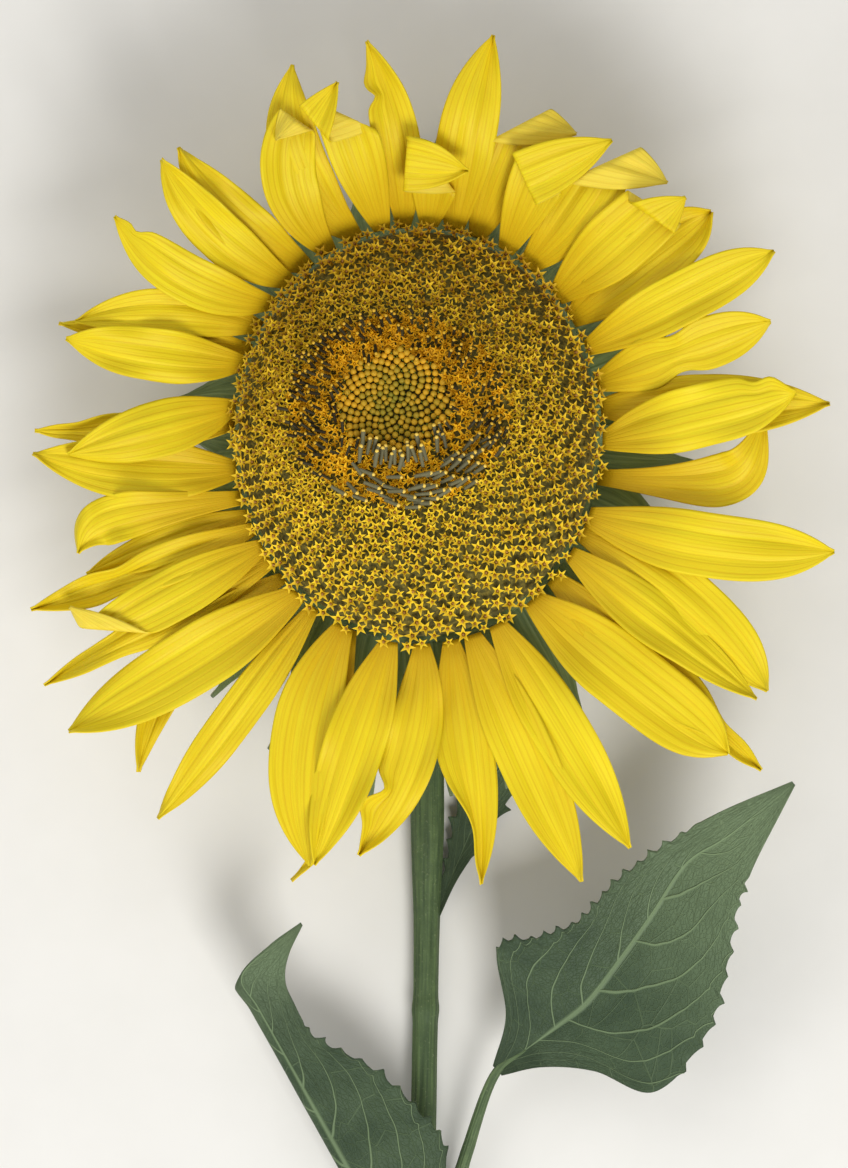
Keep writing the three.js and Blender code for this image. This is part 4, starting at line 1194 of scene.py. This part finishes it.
def leaf_place(leaf):
    middle_line = through(leaf["middle"])
    left = through([(x, y, 0) for x, y in leaf["left"]])
    right = through([(x, y, 0) for x, y in leaf["right"]])
    length = sum((Vector(b) - Vector(a)).length for a, b in zip(leaf["middle"], leaf["middle"][1:]))

    def tooth(s, first, last, spacing):
        inside = smooth((s - first) / 0.04) * smooth((last - s) / 0.04)
        number, saw = divmod(s * length / spacing + 0.25 * math.sin(9 * s), 1)
        long = 2.6 + 0.9 * math.sin(4.1 * number)
        return inside * (long * (saw ** 2.4 if saw < 0.84 else 0.66 * (1 - saw) / 0.16) - 0.6)

    def where(column, row):
        s = row / LEAF_ROWS
        v = 2 * column / LEAF_COLUMNS - 1
        place = middle_line(s)
        away = (left(s) if v < 0 else right(s)) - place
        away.z = 0
        half = away.length
        half += tooth(s, *leaf["teeth"][0 if v < 0 else 1]) * smooth((abs(v) - 0.75) / 0.25)
        across = max(half, 0.4) * abs(v)
        slope = math.radians(evenly(leaf["slope_left"] if v < 0 else leaf["slope_right"], s))
        turned = min(across / BEND, abs(slope))
        beyond = across - turned * BEND
        out = BEND * math.sin(turned) + beyond * math.cos(turned)
        rise = BEND * (1 - math.cos(turned)) + beyond * math.sin(turned)
        place = place + away.normalized() * out
        place.z += math.copysign(rise, slope)
        place.z += 0.9 * noise.noise(Vector((place.x / 14, place.y / 14, 3))) * smooth(across / 6)
        place.z -= 0.35 * math.exp(-((across / 0.9) ** 2)) * (1 - s)
        return spot(*place), (column / LEAF_COLUMNS, s)

    return where


for leaf in LEAVES:
    piece = woven(leaf["name"] + "_green", LEAF_COLUMNS, LEAF_ROWS, leaf_place(leaf))
    piece.data.materials.append(leaf_face)
    piece.data.materials.append(leaf_under)
    thicken(piece, LEAF_THICK)
    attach(piece, "root")
    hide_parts(leaf["name"])
    put_away()


# ---- Floor, light and camera ------------------------------------------------------------------------------
# A pale table top, soft lamps round about, and a camera that looks straight down.
bpy.ops.mesh.primitive_plane_add(size=6, location=(0, 0, -0.0003))
floor = bpy.context.object
floor.name = "floor"
floor_finish = Finish("pale floor", 0.8)
floor_grain = floor_finish.grain(floor_finish.add("TexCoord").outputs["Object"], 40, 3)
floor_finish.paint(floor_finish.mix(floor_grain, colour(224, 222, 216), colour(232, 230, 225)))
floor.data.materials.append(floor_finish.material)

for name, place, size, power in [
    ("lamp_near", (0.35, -1.0, 1.15), 0.7, 19),
    ("lamp_far", (-0.5, 0.9, 1.2), 1.1, 5),
    ("lamp_left", (-1.1, -0.2, 0.9), 0.9, 3),
]:
    bpy.ops.object.light_add(type="AREA", location=place)
    lamp = bpy.context.object
    lamp.name = name
    lamp.data.size = size
    lamp.data.energy = power
    lamp.rotation_euler = (Vector((0, 0, 0.03)) - Vector(place)).to_track_quat("-Z", "Y").to_euler()

world = bpy.data.worlds.new("studio")
world.use_nodes = True
world.node_tree.nodes["Background"].inputs[0].default_value = (1, 1, 1, 1)
world.node_tree.nodes["Background"].inputs[1].default_value = 0.4
bpy.context.scene.world = world
bpy.context.scene.view_settings.view_transform = "Standard"

VIEW_TALL = 0.2975                               # what the camera takes in, top to bottom
VIEW_LEVEL = 0.05                                # at this height over the floor
CAMERA_UP = 1.7
camera_data = bpy.data.cameras.new("camera")
camera = bpy.data.objects.new("camera", camera_data)
bpy.context.scene.collection.objects.link(camera)
camera.location = spot(1.5, -38.5, 0)
camera.location.z = CAMERA_UP
camera_data.lens = camera_data.sensor_width * (CAMERA_UP - VIEW_LEVEL) / VIEW_TALL
bpy.context.scene.camera = camera
